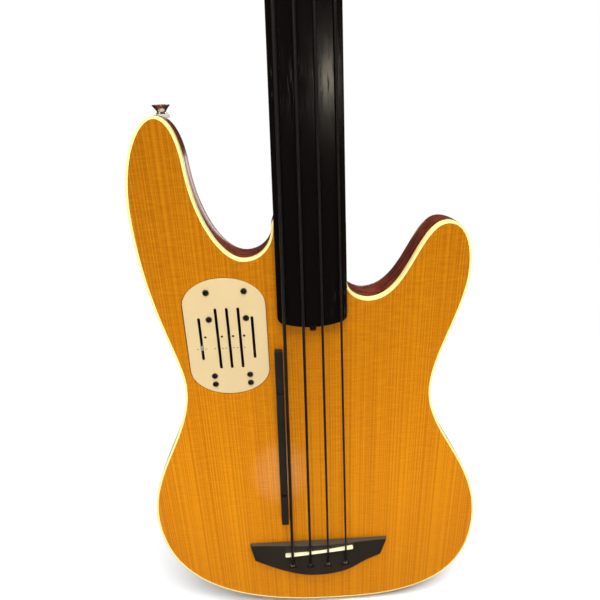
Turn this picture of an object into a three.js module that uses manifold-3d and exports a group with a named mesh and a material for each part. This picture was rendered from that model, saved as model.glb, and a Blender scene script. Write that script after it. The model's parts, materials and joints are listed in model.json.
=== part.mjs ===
// Fretless electro-acoustic bass guitar, four strings, in millimetres.
//
// Every piece is modelled in the instrument's own frame, and the outermost group stands it upright:
//   x  across the strings, towards the treble side
//   y  along the strings, towards the headstock
//   z  out of the soundboard, towards the player's view
// y = 0 lies just in front of the saddle, and z = 0 is the soundboard's face.

import * as THREE from 'three';
import { mergeVertices } from 'three/addons/utils/BufferGeometryUtils.js';
import Module from 'manifold-3d';

const wasm = await Module();
wasm.setup();

// Driving dimensions.
const GAP = 0.3; // between pieces that touch
const SCALE_LENGTH = 864;
const SADDLE_Y = -4;
const NUT_Y = SADDLE_Y + SCALE_LENGTH;
const BODY_DEPTH = 45;
const TOP_THICKNESS = 5;
const BINDING_WIDTH = 2;
const BACK_WALL = 7;
const BACK_ROUND = 38; // height of the rounding round the back

const BOARD_THICKNESS = 6.5;
const BOARD_RADIUS = 400;
const BOARD_END_Y = 264.6;
const NUT_HALF_WIDTH = 20;
const BOARD_END_HALF_WIDTH = 30;

const NECK_DEPTH_AT_NUT = 14.5;
const NECK_DEPTH_AT_HEEL = 17;
const HEEL_Y = 362;
const TENON_HALF_WIDTH = 22;
const TENON_END_Y = 268;
const NECK_SQUARENESS = 2 / 2.4; // exponent of the neck's rounded back: 1 would be an ellipse
const TRUSS = { x: 0.5, z: -5.2, radius: 2.2, channelHalfWidth: 3.4, channelFloor: -9.5 };
const TRUSS_NUT = { radius: 2.4, length: 6.5, pinHoleRadius: 0.9, pinHoleAt: 4.4 };
// The slot below the fingerboard's end, where a pin reaches the cross holes of the truss rod's nut.
const TRUSS_ACCESS = { halfWidth: 2.8, floor: -8.2, endY: 258.4 };

const HEAD_TILT = THREE.MathUtils.degToRad(10);
const HEAD_BASE_Y = NUT_Y + 6;
const HEAD_THICKNESS = 15;
const HEAD_LENGTH = 178;
const HEAD_HALF_ROOT = NUT_HALF_WIDTH - 0.2;
const POST_HOLE_RADIUS = 8.3;

const STRING_SPACING_SADDLE = 19;
const STRING_SPACING_NUT = 10;
const STRINGS = [
  { name: 'e', diameter: 3.0, postX: -24, postAt: 58 },
  { name: 'a', diameter: 2.5, postX: -21, postAt: 122 },
  { name: 'd', diameter: 2.2, postX: 21, postAt: 122 },
  { name: 'g', diameter: 2.0, postX: 24, postAt: 58 },
];
const NUT_SLOT_FLOOR = 7;

const BRIDGE = { frontY: 4.8, base: 3.4, middle: 7.4 };
const ANCHOR_Y = -25; // where the strings pass into the bridge
const KEYHOLE_RADIUS = 3.6;
const SADDLE_TOP = 9.7;
const SADDLE_FLOOR = 3;
const SADDLE_THICKNESS = 2.8;
const SADDLE_SPAN = [-36.5, 36.8];
const SADDLE_SLANT = 5.8 / (3 * STRING_SPACING_SADDLE);
const PICKUP_TOP = 4.6;
const LEAD_HOLE = { x: -4, y: -8, radius: 1.8 };

const POST = { radius: 6.2, waist: 4.6, top: 19, wrapFloor: 4 };
const WHEEL = { teeth: 20, tip: 9.6, root: 8.4, thickness: 5.4 };
const WORM = { radius: 3.2, shaft: 2.2, distance: 13.4 };
const PLATE_BACK = -HEAD_THICKNESS - GAP - 2.4; // back face of a tuner's base plate
const WORM_HEIGHT = PLATE_BACK - 3.6;

// The body's outline, anticlockwise from the tip of the bass horn. Each knot is
// [x, y, heading in degrees, handle before it, handle after it, how far the back is drawn in there].
const BODY_KNOTS = [
  [-112, 439, 180, 12, 12, 14],
  [-142, 364.5, 270, 48, 79, 16],
  [-118, 207.5, 270, 29.5, 53.5, 16],
  [-166.5, 46, 270, 64.5, 100.5, 16],
  [8.5, -89, 0, 95, 44, 6],
  [166.5, 21.5, 90, 118, 80, 16],
  [109, 192, 90, 51, 37.5, 16],
  [135, 309.5, 90, 36.5, 26.5, 16],
  [112.5, 351.5, 180, 13.5, 25, 10],
  [49.5, 286.5, 180, 33, 6.5, 8],
  [30.2, 305, 90, 14, 14, 6],
  [29.5, 352, 90, 14, 5.5, 5],
  [19.5, HEEL_Y, 180, 5.5, 12, 5],
  [-21, HEEL_Y, 180, 12, 5.5, 5],
  [-31, 352, 270, 5.5, 12, 5],
  [-54.5, 326.5, 180, 15, 16, 7],
  [-93.5, 402.5, 94.5, 45, 18, 9],
];
const STEPS_PER_KNOT = 5;

const PLATE = { x: -75, y: 254.5, halfWidth: 35.5, halfLength: 56.8, straight: 31, thickness: 3 };
const SLIDER_SLOTS = [
  { name: 'gain', x: -97.7, low: 234, high: 275.4, lever: 245.6 },
  { name: 'treble', x: -82.8, low: 224.4, high: 283.8, lever: 255.5 },
  { name: 'mid', x: -73.1, low: 224.4, high: 283.8, lever: 255.5 },
  { name: 'bass', x: -63.3, low: 224.4, high: 283.8, lever: 256.5 },
  { name: 'volume', x: -51.9, low: 233.5, high: 275, lever: 241 },
];
const SLOT_WIDTH = 2.4;
const LEVER = { width: 1.6, length: 4, top: 0.4, bottom: -10.5 };
const BAY = { x0: -105, x1: -45, y0: 213, y1: 294, radius: 3 };
const BOARD_TOP = -12; // face of the preamp's circuit board
const BOARD_SHEET = 1.6;
const PLATE_SCREWS = [
  [-88.9, 298.8, 'wood'],
  [-57, 298.8, 'wood'],
  [-88.9, 273.8, 'board'],
  [-57, 273.8, 'board'],
  [-89.5, 217.2, 'board'],
  [-57.6, 217.2, 'board'],
  [-89.5, 208.6, 'wood'],
  [-57.6, 208.6, 'wood'],
];

const SCREW_PILOT = 1.7;

const THUMB_REST = { top: [-30.7, 241.6], bottom: [-34.2, 35.3], width: 7.4, height: 6 };
const THUMB_REST_SCREWS = [0.203, 0.802]; // shares of its length
const COUNTERBORE = { radius: 2.9, depth: 1.5 };

const BATTERY = { x: -100, y: 55, width: 48.5, height: 26.5, depth: 17.5 };
const NECK_BOLTS = [[-13, 290], [13, 290], [-13, 325], [13, 325]];
const BOLT_RADIUS = 2.4;
const BOX_FLANGE = -BODY_DEPTH - GAP - 1.6;
const BOX_DEPTH = 24;
const LID_FRONT = BOX_FLANGE - GAP;
const DOOR_HINGE = { y: BATTERY.y + 20, z: LID_FRONT - 1.6, knuckle: 1.6, pin: 0.8 };

const EDGE_MID = -22; // depth of the jack and of the strap buttons
const JACK = { x: -38, faceY: -88, innerY: -62, bore: 3.4, barrel: 6, collar: 9 };
const HORN_BUTTON = [-109.7, 438.9, EDGE_MID];
const TAIL_BUTTON = [8.5, -89, EDGE_MID];
const STRAP_SCREW = { radius: 1.5, length: 26 };
const WASHER_RADIUS = 5.8;
const SPOT_FACE = { radius: 6.4, depth: 2.4 }; // flat cut into the rounded edge under a strap washer

// ---------------------------------------------------------------- helpers

function solidOf(geometry) {
  const bare = geometry.clone();
  bare.deleteAttribute('normal');
  bare.deleteAttribute('uv');
  const merged = mergeVertices(bare, 1e-4);
  const mesh = new wasm.Mesh({
    numProp: 3,
    vertProperties: Float32Array.from(merged.attributes.position.array),
    triVerts: Uint32Array.from(merged.index.array),
  });
  return new wasm.Manifold(mesh);
}

function geometryOf(solid) {
  const mesh = solid.getMesh();
  const geometry = new THREE.BufferGeometry();
  geometry.setAttribute('position', new THREE.BufferAttribute(mesh.vertProperties, 3));
  geometry.setIndex(new THREE.BufferAttribute(mesh.triVerts, 1));
  geometry.computeVertexNormals();
  return geometry;
}

function join(...solids) {
  return solids.reduce((whole, piece) => whole.add(piece));
}

function cut(solid, ...tools) {
  return tools.reduce((whole, tool) => whole.subtract(tool), solid);
}

function box(x0, x1, y0, y1, z0, z1) {
  const geometry = new THREE.BoxGeometry(x1 - x0, y1 - y0, z1 - z0);
  geometry.translate((x0 + x1) / 2, (y0 + y1) / 2, (z0 + z1) / 2);
  return solidOf(geometry);
}

// A round rod, or a cone where the two radii differ, between two points.
function rod(from, to, radius, sides = 16, endRadius = radius) {
  const start = new THREE.Vector3(...from);
  const along = new THREE.Vector3(...to).sub(start);
  const geometry = new THREE.CylinderGeometry(endRadius, radius, along.length(), sides);
  geometry.translate(0, along.length() / 2, 0);
  const turn = new THREE.Quaternion().setFromUnitVectors(
    new THREE.Vector3(0, 1, 0),
    along.clone().normalize(),
  );
  geometry.applyQuaternion(turn);
  geometry.translate(start.x, start.y, start.z);
  return solidOf(geometry);
}

// A turned piece: the profile is [radius, distance along the axis] from axis to axis.
function turned(profile, from, direction, sides = 20) {
  const points = profile.map(([radius, height]) => new THREE.Vector2(radius, height));
  const geometry = new THREE.LatheGeometry(points, sides);
  const turn = new THREE.Quaternion().setFromUnitVectors(
    new THREE.Vector3(0, 1, 0),
    new THREE.Vector3(...direction).normalize(),
  );
  geometry.applyQuaternion(turn);
  geometry.translate(...from);
  return solidOf(geometry);
}

function slab(shape, z0, z1, curveSegments = 8) {
  const geometry = new THREE.ExtrudeGeometry(shape, { depth: z1 - z0, bevelEnabled: false, curveSegments });
  geometry.translate(0, 0, z0);
  return solidOf(geometry);
}

// A closed skin over a stack of rings that all have the same number of points.
function loft(rings) {
  const count = rings[0].length;
  const positions = rings.flat().flatMap((point) => [point.x, point.y, point.z]);
  const triangles = [];
  for (let ring = 0; ring + 1 < rings.length; ring += 1) {
    for (let i = 0; i < count; i += 1) {
      const a = ring * count + i;
      const b = ring * count + ((i + 1) % count);
      triangles.push(a, b, b + count, a, b + count, a + count);
    }
  }
  for (const last of [false, true]) {
    const offset = last ? (rings.length - 1) * count : 0;
    const ring = rings[last ? rings.length - 1 : 0];
    const flat = flatten(ring);
    for (const corners of THREE.ShapeUtils.triangulateShape(flat, [])) {
      const facing = last ? corners : corners.reverse();
      triangles.push(...facing.map((corner) => offset + corner));
    }
  }
  const geometry = new THREE.BufferGeometry();
  geometry.setAttribute('position', new THREE.Float32BufferAttribute(positions, 3));
  geometry.setIndex(triangles);
  return solidOf(geometry);
}

// A flat ring's points in the plane that it lies in, which is square to y or to z.
function flatten(ring) {
  const spansY = Math.abs(ring[0].y - ring[Math.floor(ring.length / 2)].y) > 1e-6;
  return ring.map((point) => new THREE.Vector2(point.x, spansY ? point.y : -point.z));
}

function roundedRectangle(x0, x1, y0, y1, radius) {
  const shape = new THREE.Shape();
  shape.moveTo(x0 + radius, y0);
  shape.lineTo(x1 - radius, y0);
  shape.absarc(x1 - radius, y0 + radius, radius, -Math.PI / 2, 0);
  shape.lineTo(x1, y1 - radius);
  shape.absarc(x1 - radius, y1 - radius, radius, 0, Math.PI / 2);
  shape.lineTo(x0 + radius, y1);
  shape.absarc(x0 + radius, y1 - radius, radius, Math.PI / 2, Math.PI);
  shape.lineTo(x0, y0 + radius);
  shape.absarc(x0 + radius, y0 + radius, radius, Math.PI, Math.PI * 1.5);
  return shape;
}

function ellipse(x, y, halfWidth, halfLength) {
  const shape = new THREE.Shape();
  shape.absellipse(x, y, halfWidth, halfLength, 0, Math.PI * 2);
  return shape;
}

function stringX(index, y) {
  const along = (y - SADDLE_Y) / SCALE_LENGTH;
  const spacing = STRING_SPACING_SADDLE + (STRING_SPACING_NUT - STRING_SPACING_SADDLE) * along;
  return (index - 1.5) * spacing;
}

function boardHalfWidth(y) {
  const along = (y - BOARD_END_Y) / (NUT_Y - BOARD_END_Y);
  return BOARD_END_HALF_WIDTH + (NUT_HALF_WIDTH - BOARD_END_HALF_WIDTH) * along;
}

// A point of the headstock, which leans back: across it, along it and above its face.
function headPoint(x, along, height) {
  return [
    x,
    HEAD_BASE_Y + along * Math.cos(HEAD_TILT) + height * Math.sin(HEAD_TILT),
    -GAP - along * Math.sin(HEAD_TILT) + height * Math.cos(HEAD_TILT),
  ];
}

const HEAD_NORMAL = [0, Math.sin(HEAD_TILT), Math.cos(HEAD_TILT)];

const paint = (color, roughness, metalness = 0) =>
  new THREE.MeshStandardMaterial({ color, roughness, metalness });
const amberSpruce = () => paint(0xd88a1c, 0.18);
const redMahogany = () => paint(0x5a2823, 0.2);
const creamPlastic = () => paint(0xf0d49b, 0.35);
const bindingPlastic = () => paint(0xfff0a0, 0.3);
const ebony = () => paint(0x141210, 0.45);
const rosewood = () => paint(0x37322a, 0.5);
const bone = () => paint(0xf6f0cf, 0.35);
const blackPlastic = () => paint(0x0c0c0c, 0.4);
const nickel = () => paint(0xc9c2b0, 0.2, 1);
const steel = () => paint(0x8c8c8c, 0.3, 1);
const tape = () => paint(0x101010, 0.45);
const greenLaminate = () => paint(0x1f5c38, 0.5);

const instrument = new THREE.Group();

function add(name, solid, material) {
  const mesh = new THREE.Mesh(geometryOf(solid), material);
  mesh.name = name;
  instrument.add(mesh);
}

// ---------------------------------------------------------------- body

// Points round the outline, each with its inward normal and how far the back is drawn in.
function bodyOutline() {
  const samples = [];
  BODY_KNOTS.forEach((knot, index) => {
    const next = BODY_KNOTS[(index + 1) % BODY_KNOTS.length];
    const [x0, y0, heading0, , out, round0] = knot;
    const [x1, y1, heading1, into, , round1] = next;
    const angle0 = THREE.MathUtils.degToRad(heading0);
    const angle1 = THREE.MathUtils.degToRad(heading1);
    const curve = new THREE.CubicBezierCurve(
      new THREE.Vector2(x0, y0),
      new THREE.Vector2(x0 + out * Math.cos(angle0), y0 + out * Math.sin(angle0)),
      new THREE.Vector2(x1 - into * Math.cos(angle1), y1 - into * Math.sin(angle1)),
      new THREE.Vector2(x1, y1),
    );
    for (let step = 0; step < STEPS_PER_KNOT; step += 1) {
      const t = step / STEPS_PER_KNOT;
      const ease = t * t * (3 - 2 * t);
      const tangent = curve.getTangent(t);
      samples.push({
        point: curve.getPoint(t),
        inward: new THREE.Vector2(-tangent.y, tangent.x),
        round: round0 + (round1 - round0) * ease,
      });
    }
  });
  return samples;
}

const OUTLINE = bodyOutline();

function outlineRing(inset, z) {
  return OUTLINE.map(({ point, inward, round }) => {
    const by = typeof inset === 'function' ? inset(round) : inset;
    return new THREE.Vector3(point.x + inward.x * by, point.y + inward.y * by, z);
  });
}

function platePath(margin) {
  const { x, y, halfWidth, halfLength, straight } = PLATE;
  const w = halfWidth + margin;
  const h = halfLength + margin;
  const shape = new THREE.Shape();
  shape.moveTo(x + w, y - straight);
  shape.lineTo(x + w, y + straight);
  shape.bezierCurveTo(x + w, y + straight + 15, x + 19, y + h, x, y + h);
  shape.bezierCurveTo(x - 19, y + h, x - w, y + straight + 15, x - w, y + straight);
  shape.lineTo(x - w, y - straight);
  shape.bezierCurveTo(x - w, y - straight - 15, x - 19, y - h, x, y - h);
  shape.bezierCurveTo(x + 19, y - h, x + w, y - straight - 15, x + w, y - straight);
  return shape;
}

function neckPocket() {
  const half = TENON_HALF_WIDTH + GAP;
  return box(-half, half, TENON_END_Y - GAP, HEEL_Y + 20, -NECK_DEPTH_AT_HEEL - GAP, 10);
}

function trussAccess() {
  const { halfWidth, floor, endY } = TRUSS_ACCESS;
  return box(TRUSS.x - halfWidth, TRUSS.x + halfWidth, endY, TENON_END_Y + 4, floor, 10);
}

// The holes for the screws that go into the wood: four of the plate's and the thumb rest's two.
function woodScrewHoles(bottom, top) {
  const plateScrews = PLATE_SCREWS.filter(([, , into]) => into === 'wood');
  const places = [...plateScrews, ...thumbScrewPlaces()];
  return places.map(([x, y]) => rod([x, y, bottom], [x, y, top], SCREW_PILOT, 8));
}

// The hole for a strap button's screw and the flat for its washer; out is 1 upwards, -1 downwards.
function strapSeat([x, y, z], out) {
  const outside = y + out * 11;
  return [
    rod([x, outside, z], [x, y - out * 34, z], 2, 8),
    rod([x, outside, z], [x, y - out * SPOT_FACE.depth, z], SPOT_FACE.radius, 20),
  ];
}

function bodyShell() {
  const shellTop = -TOP_THICKNESS - GAP;
  const roundStart = -(BODY_DEPTH - BACK_ROUND);
  const rings = [outlineRing(0, shellTop), outlineRing(0, roundStart)];
  const roundSteps = 4;
  for (let step = 1; step <= roundSteps; step += 1) {
    const angle = (step / roundSteps) * Math.PI / 2;
    const height = roundStart - BACK_ROUND * Math.sin(angle);
    rings.push(outlineRing((round) => round * (1 - Math.cos(angle)), height));
  }
  const whole = loft(rings.reverse());
  const floor = -BODY_DEPTH + BACK_WALL;
  const chambers = [
    [-100, 45, 45, 84],
    [104, 38, 42, 84],
    [82, 248, 24, 40],
    [-112, 345, 15, 38],
  ].map(([x, y, halfWidth, halfLength]) => slab(ellipse(x, y, halfWidth, halfLength), floor, 0, 10));
  const preampBay = slab(roundedRectangle(BAY.x0, BAY.x1, BAY.y0, BAY.y1, BAY.radius), floor, 0, 3);
  const wireWays = [
    rod([-88, 110, -30], [-88, 220, -30], 4, 8),
    rod([JACK.x, -60, EDGE_MID], [-95, -10, -25], 4, 8),
    rod([-80, 208, -30], [-4, -10, -12], 3, 8),
    rod([-110, 310, -30], [-98, 280, -30], 4, 8),
  ];
  const jackSeats = [
    rod([JACK.x, -100, EDGE_MID], [JACK.x, -46, EDGE_MID], 10.5, 20),
    rod([JACK.x, -100, EDGE_MID], [JACK.x, JACK.faceY + 1.5, EDGE_MID], 13, 20),
  ];
  const batteryOpening = batteryFrame(GAP, -BODY_DEPTH - 5, -20);
  const boltHoles = NECK_BOLTS.map(([x, y]) => rod([x, y, -BODY_DEPTH - 1], [x, y, -10], 2.8, 10));
  const strapSeats = [...strapSeat(HORN_BUTTON, 1), ...strapSeat(TAIL_BUTTON, -1)];
  return cut(whole, ...chambers, preampBay, ...wireWays, ...jackSeats, batteryOpening, ...boltHoles,
    ...strapSeats, ...woodScrewHoles(-20, 0), neckPocket(), trussAccess());
}

function soundboard() {
  const inset = BINDING_WIDTH + GAP;
  const panel = loft([outlineRing(inset, -TOP_THICKNESS), outlineRing(inset, 0)]);
  const plateRecess = slab(platePath(GAP), -PLATE.thickness - GAP, 1, 5);
  const plateOpening = slab(roundedRectangle(BAY.x0, BAY.x1, BAY.y0, BAY.y1, BAY.radius), -10, 1, 3);
  const { x, y, radius } = LEAD_HOLE;
  const leadHole = rod([x, y, -10], [x, y, 1], radius, 8);
  return cut(panel, plateRecess, plateOpening, ...woodScrewHoles(-10, 1), leadHole, neckPocket(),
    trussAccess());
}

function binding() {
  const outer = loft([outlineRing(0, -TOP_THICKNESS), outlineRing(0, 0)]);
  const inner = loft([outlineRing(BINDING_WIDTH, -TOP_THICKNESS - 1), outlineRing(BINDING_WIDTH, 1)]);
  return cut(outer, inner, neckPocket());
}

add('body_shell', bodyShell(), redMahogany());
add('soundboard', soundboard(), amberSpruce());
add('binding', binding(), bindingPlastic());

// ---------------------------------------------------------------- neck

function neckShaft() {
  const sections = 6;
  const backPoints = 12;
  const rings = [];
  for (let section = 0; section <= sections; section += 1) {
    const y = HEEL_Y + GAP + ((HEAD_BASE_Y - HEEL_Y - GAP) * section) / sections;
    const share = section / sections;
    const halfWidth = boardHalfWidth(Math.min(y, NUT_Y)) - 0.2;
    const depth = NECK_DEPTH_AT_HEEL + (NECK_DEPTH_AT_NUT - NECK_DEPTH_AT_HEEL) * share;
    const ring = [];
    for (let i = 0; i <= backPoints; i += 1) {
      const angle = (i / backPoints) * Math.PI;
      const across = Math.sign(Math.cos(angle)) * Math.abs(Math.cos(angle)) ** NECK_SQUARENESS;
      const down = Math.sin(angle) ** NECK_SQUARENESS;
      ring.push(new THREE.Vector3(halfWidth * across, y, -GAP - depth * down));
    }
    rings.push(ring);
  }
  return loft(rings);
}

// The headstock's plan. Each curve is [control, control, end], up the treble side to the crown.
function headShape() {
  const root = [HEAD_HALF_ROOT, -2];
  const curves = [
    [[20, 12], [38, 18], [41, 38]],
    [[43.5, 60], [36, 110], [37, 150]],
    [[37.5, 165], [30, HEAD_LENGTH - 9], [14, HEAD_LENGTH - 4]],
    [[9, HEAD_LENGTH - 2], [4, HEAD_LENGTH], [0, HEAD_LENGTH]],
  ];
  const shape = new THREE.Shape();
  shape.moveTo(HEAD_HALF_ROOT, -14);
  shape.lineTo(...root);
  curves.forEach((curve) => shape.bezierCurveTo(...curve.flat()));
  const starts = [root, ...curves.map(([, , end]) => end)];
  for (let i = curves.length - 1; i >= 0; i -= 1) {
    const [first, second] = curves[i];
    const mirrored = [second, first, starts[i]].flatMap(([x, y]) => [-x, y]);
    shape.bezierCurveTo(...mirrored);
  }
  shape.lineTo(-HEAD_HALF_ROOT, -14);
  return shape;
}

// Turns a solid made in the headstock's own plane (z = 0 is its face) into its place.
function placeOnHead(solid) {
  const [x, y, z] = headPoint(0, 0, 0);
  return solid.rotate([-THREE.MathUtils.radToDeg(HEAD_TILT), 0, 0]).translate([x, y, z]);
}

function neck() {
  const tenon = box(-TENON_HALF_WIDTH, TENON_HALF_WIDTH, TENON_END_Y, HEEL_Y + 8, -NECK_DEPTH_AT_HEEL, -GAP);
  const head = placeOnHead(slab(headShape(), -HEAD_THICKNESS, 0, 5));
  const aboveNeck = box(-60, 60, NUT_Y - 60, HEAD_BASE_Y, -GAP, 30);
  const { x: middle, channelHalfWidth, channelFloor } = TRUSS;
  const rodChannel = box(middle - channelHalfWidth, middle + channelHalfWidth, TENON_END_Y - 5, NUT_Y - 20,
    channelFloor, 10);
  const posts = STRINGS.map(({ postX, postAt }) =>
    rod(headPoint(postX, postAt, -40), headPoint(postX, postAt, 20), POST_HOLE_RADIUS, 20));
  const bolts = NECK_BOLTS.map(([x, y]) => rod([x, y, -40], [x, y, -4], 2.6, 10));
  return cut(join(neckShaft(), tenon, head), aboveNeck, rodChannel, ...posts, ...bolts);
}

function fingerboard() {
  const end = BOARD_END_HALF_WIDTH;
  const corner = BOARD_END_Y + 3;
  const shape = new THREE.Shape();
  shape.moveTo(NUT_HALF_WIDTH, NUT_Y - GAP);
  shape.lineTo(-NUT_HALF_WIDTH, NUT_Y - GAP);
  shape.lineTo(-end, BOARD_END_Y + 11);
  shape.quadraticCurveTo(-end, corner + 1, -end + 8, corner);
  shape.quadraticCurveTo(0, BOARD_END_Y - 2.9, end - 8, corner);
  shape.quadraticCurveTo(end, corner + 1, end, BOARD_END_Y + 11);
  const plan = slab(shape, 0, BOARD_THICKNESS + 1, 5);
  const crown = rod(
    [0, BOARD_END_Y - 10, BOARD_THICKNESS - BOARD_RADIUS],
    [0, NUT_Y + 10, BOARD_THICKNESS - BOARD_RADIUS],
    BOARD_RADIUS,
    256,
  );
  return plan.intersect(crown);
}

function stringNut() {
  const bar = box(-NUT_HALF_WIDTH, NUT_HALF_WIDTH, NUT_Y, NUT_Y + 5, 0, 8.6);
  const slots = STRINGS.map(({ diameter }, index) => {
    const x = stringX(index, NUT_Y);
    const half = diameter / 2 + GAP;
    return box(x - half, x + half, NUT_Y - 1, NUT_Y + 6, NUT_SLOT_FLOOR, 12);
  });
  const lean = box(-30, 30, -3, 12, 0, 6)
    .rotate([-16, 0, 0])
    .translate([0, NUT_Y, NUT_SLOT_FLOOR]);
  const slotFall = STRINGS.map(({ diameter }, index) => {
    const x = stringX(index, NUT_Y + 3);
    const half = diameter / 2 + GAP;
    return lean.intersect(box(x - half, x + half, NUT_Y - 1, NUT_Y + 8, -5, 20));
  });
  return cut(bar, ...slots, ...slotFall);
}

add('neck', neck(), redMahogany());
add('fingerboard', fingerboard(), ebony());
add('string_nut', stringNut(), bone());

function trussRod() {
  return rod([TRUSS.x, TENON_END_Y - 2, TRUSS.z], [TRUSS.x, NUT_Y - 24, TRUSS.z], TRUSS.radius, 10);
}

function trussRodNut() {
  const { radius, length, pinHoleRadius, pinHoleAt } = TRUSS_NUT;
  const startY = TENON_END_Y - 2 - GAP;
  const pinY = startY - pinHoleAt;
  const edge = 0.5;
  const profile = [
    [0, 0], [radius - edge, 0], [radius, edge],
    [radius, length - edge], [radius - edge, length], [0, length],
  ];
  const barrel = turned(profile, [TRUSS.x, startY, TRUSS.z], [0, -1, 0], 12);
  const across = rod([TRUSS.x - 4, pinY, TRUSS.z], [TRUSS.x + 4, pinY, TRUSS.z], pinHoleRadius, 8);
  const down = rod([TRUSS.x, pinY, TRUSS.z - 4], [TRUSS.x, pinY, TRUSS.z + 4], pinHoleRadius, 8);
  return cut(barrel, across, down);
}

add('truss_rod', trussRod(), steel());
add('truss_rod_nut', trussRodNut(), steel());

function neckPlate() {
  const plate = slab(roundedRectangle(-21, 21, 279, 336, 5), -BODY_DEPTH - GAP - 2, -BODY_DEPTH - GAP, 4);
  return cut(plate, ...NECK_BOLTS.map(([x, y]) => rod([x, y, -60], [x, y, -40], 2.8, 10)));
}

function neckBolt([x, y]) {
  return turned(
    [[0, 0], [3.2, 0], [4.4, 1.2], [4.4, 2.4], [BOLT_RADIUS, 2.4], [BOLT_RADIUS, 40], [0, 41]],
    [x, y, -BODY_DEPTH - 2 * GAP - 4.4],
    [0, 0, 1],
    10,
  );
}

add('neck_plate', neckPlate(), nickel());
NECK_BOLTS.forEach((place, index) => add(`neck_bolt_${index + 1}`, neckBolt(place), steel()));

// ---------------------------------------------------------------- bridge and strings

const saddleY = (x) => SADDLE_Y + SADDLE_SLANT * x;

function bridgePlan() {
  const shape = new THREE.Shape();
  shape.moveTo(-73.4, BRIDGE.frontY);
  shape.lineTo(-69.8, -18);
  shape.bezierCurveTo(-52, -29, -28, -40.5, -4, -40.5);
  shape.bezierCurveTo(17, -40.5, 31, -38.5, 43, -30);
  shape.bezierCurveTo(51, -24.5, 59, -21.5, 67.3, -18);
  shape.lineTo(73.4, BRIDGE.frontY);
  return shape;
}

// The bridge's arched height, seen from the tail: thin wings and a thicker middle.
function bridgeArch() {
  const shape = new THREE.Shape();
  shape.moveTo(-80, GAP);
  shape.lineTo(80, GAP);
  shape.lineTo(80, BRIDGE.base);
  shape.bezierCurveTo(50, BRIDGE.base + 0.8, 34, BRIDGE.middle, 0, BRIDGE.middle);
  shape.bezierCurveTo(-34, BRIDGE.middle, -50, BRIDGE.base + 0.8, -80, BRIDGE.base);
  const geometry = new THREE.ExtrudeGeometry(shape, { depth: 80, bevelEnabled: false, curveSegments: 6 });
  geometry.rotateX(Math.PI / 2);
  geometry.translate(0, 20, 0);
  return solidOf(geometry);
}

function saddleSlot(margin, z0, z1) {
  const angle = THREE.MathUtils.radToDeg(Math.atan(SADDLE_SLANT));
  const [low, high] = SADDLE_SPAN;
  const half = SADDLE_THICKNESS / 2 + margin;
  const shape = roundedRectangle(low - margin, high + margin, -half, half, half - 0.05);
  return slab(shape, z0, z1, 3).rotate([0, 0, angle]).translate([0, SADDLE_Y, 0]);
}

function bridge() {
  const whole = slab(bridgePlan(), 0, 12, 6).intersect(bridgeArch());
  const keyholes = STRINGS.flatMap(({ diameter }, index) => {
    const x = stringX(index, ANCHOR_Y);
    const half = diameter / 2 + 0.5;
    return [
      rod([x, ANCHOR_Y - 2, -1], [x, ANCHOR_Y - 2, 12], KEYHOLE_RADIUS, 14),
      box(x - half, x + half, ANCHOR_Y, ANCHOR_Y + 13, 2, 12),
    ];
  });
  const { x, y, radius } = LEAD_HOLE;
  const leadHole = rod([x, y, -1], [x, saddleY(x), 4.4], radius, 8);
  return cut(whole, ...keyholes, saddleSlot(GAP, SADDLE_FLOOR, 12), leadHole);
}

function saddle() {
  return saddleSlot(0, PICKUP_TOP + GAP, SADDLE_TOP);
}

function bassString(index) {
  const { diameter, postX, postAt } = STRINGS[index];
  const radius = diameter / 2;
  const side = Math.sign(postX);
  const ballX = stringX(index, ANCHOR_Y);
  const saddleX = stringX(index, SADDLE_Y);
  const crestY = saddleY(saddleX) - SADDLE_THICKNESS / 2;
  const overSaddle = [saddleX, crestY, SADDLE_TOP + GAP + radius];
  const overNut = [stringX(index, NUT_Y), NUT_Y + 0.5, NUT_SLOT_FLOOR + GAP + radius];
  const wrapRadius = POST.waist + GAP + radius;
  const wrapHeight = POST.wrapFloor + 3 * diameter;
  const atPost = headPoint(postX - side * wrapRadius, postAt - 1, wrapHeight - radius);
  const ball = [ballX, ANCHOR_Y - 2, 3.2];
  const leave = [ballX, ANCHOR_Y + 1.5, 5.2];
  const corners = [ball, leave, overSaddle, overNut, atPost];
  const runs = corners.slice(1).map((corner, i) => rod(corners[i], corner, radius, 6));
  const bends = corners.slice(1, -1).map((corner) =>
    solidOf(new THREE.IcosahedronGeometry(radius * 1.05, 0).translate(...corner)));
  const ballEnd = rod([ballX - 2.2, ball[1], ball[2]], [ballX + 2.2, ball[1], ball[2]], 2.7, 8);
  return join(...runs, ...bends, ballEnd, wraps(index));
}

// Three close turns of string round the post, as one sleeve.
function wraps(index) {
  const { diameter, postX, postAt } = STRINGS[index];
  const inner = POST.waist + GAP;
  const onPost = (height) => headPoint(postX, postAt, height);
  const sleeve = rod(onPost(POST.wrapFloor), onPost(POST.wrapFloor + 3 * diameter), inner + diameter, 12);
  return cut(sleeve, rod(onPost(0), onPost(30), inner, 12));
}

// ---------------------------------------------------------------- tuners

// A tuner's own frame: its post stands on the axis, and x points out to the headstock's nearer edge.
function placeTuner(solid, { postX, postAt }) {
  const turnedOut = postX < 0 ? solid.rotate([0, 0, 180]) : solid;
  return placeOnHead(turnedOut.translate([postX, postAt, 0]));
}

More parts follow.
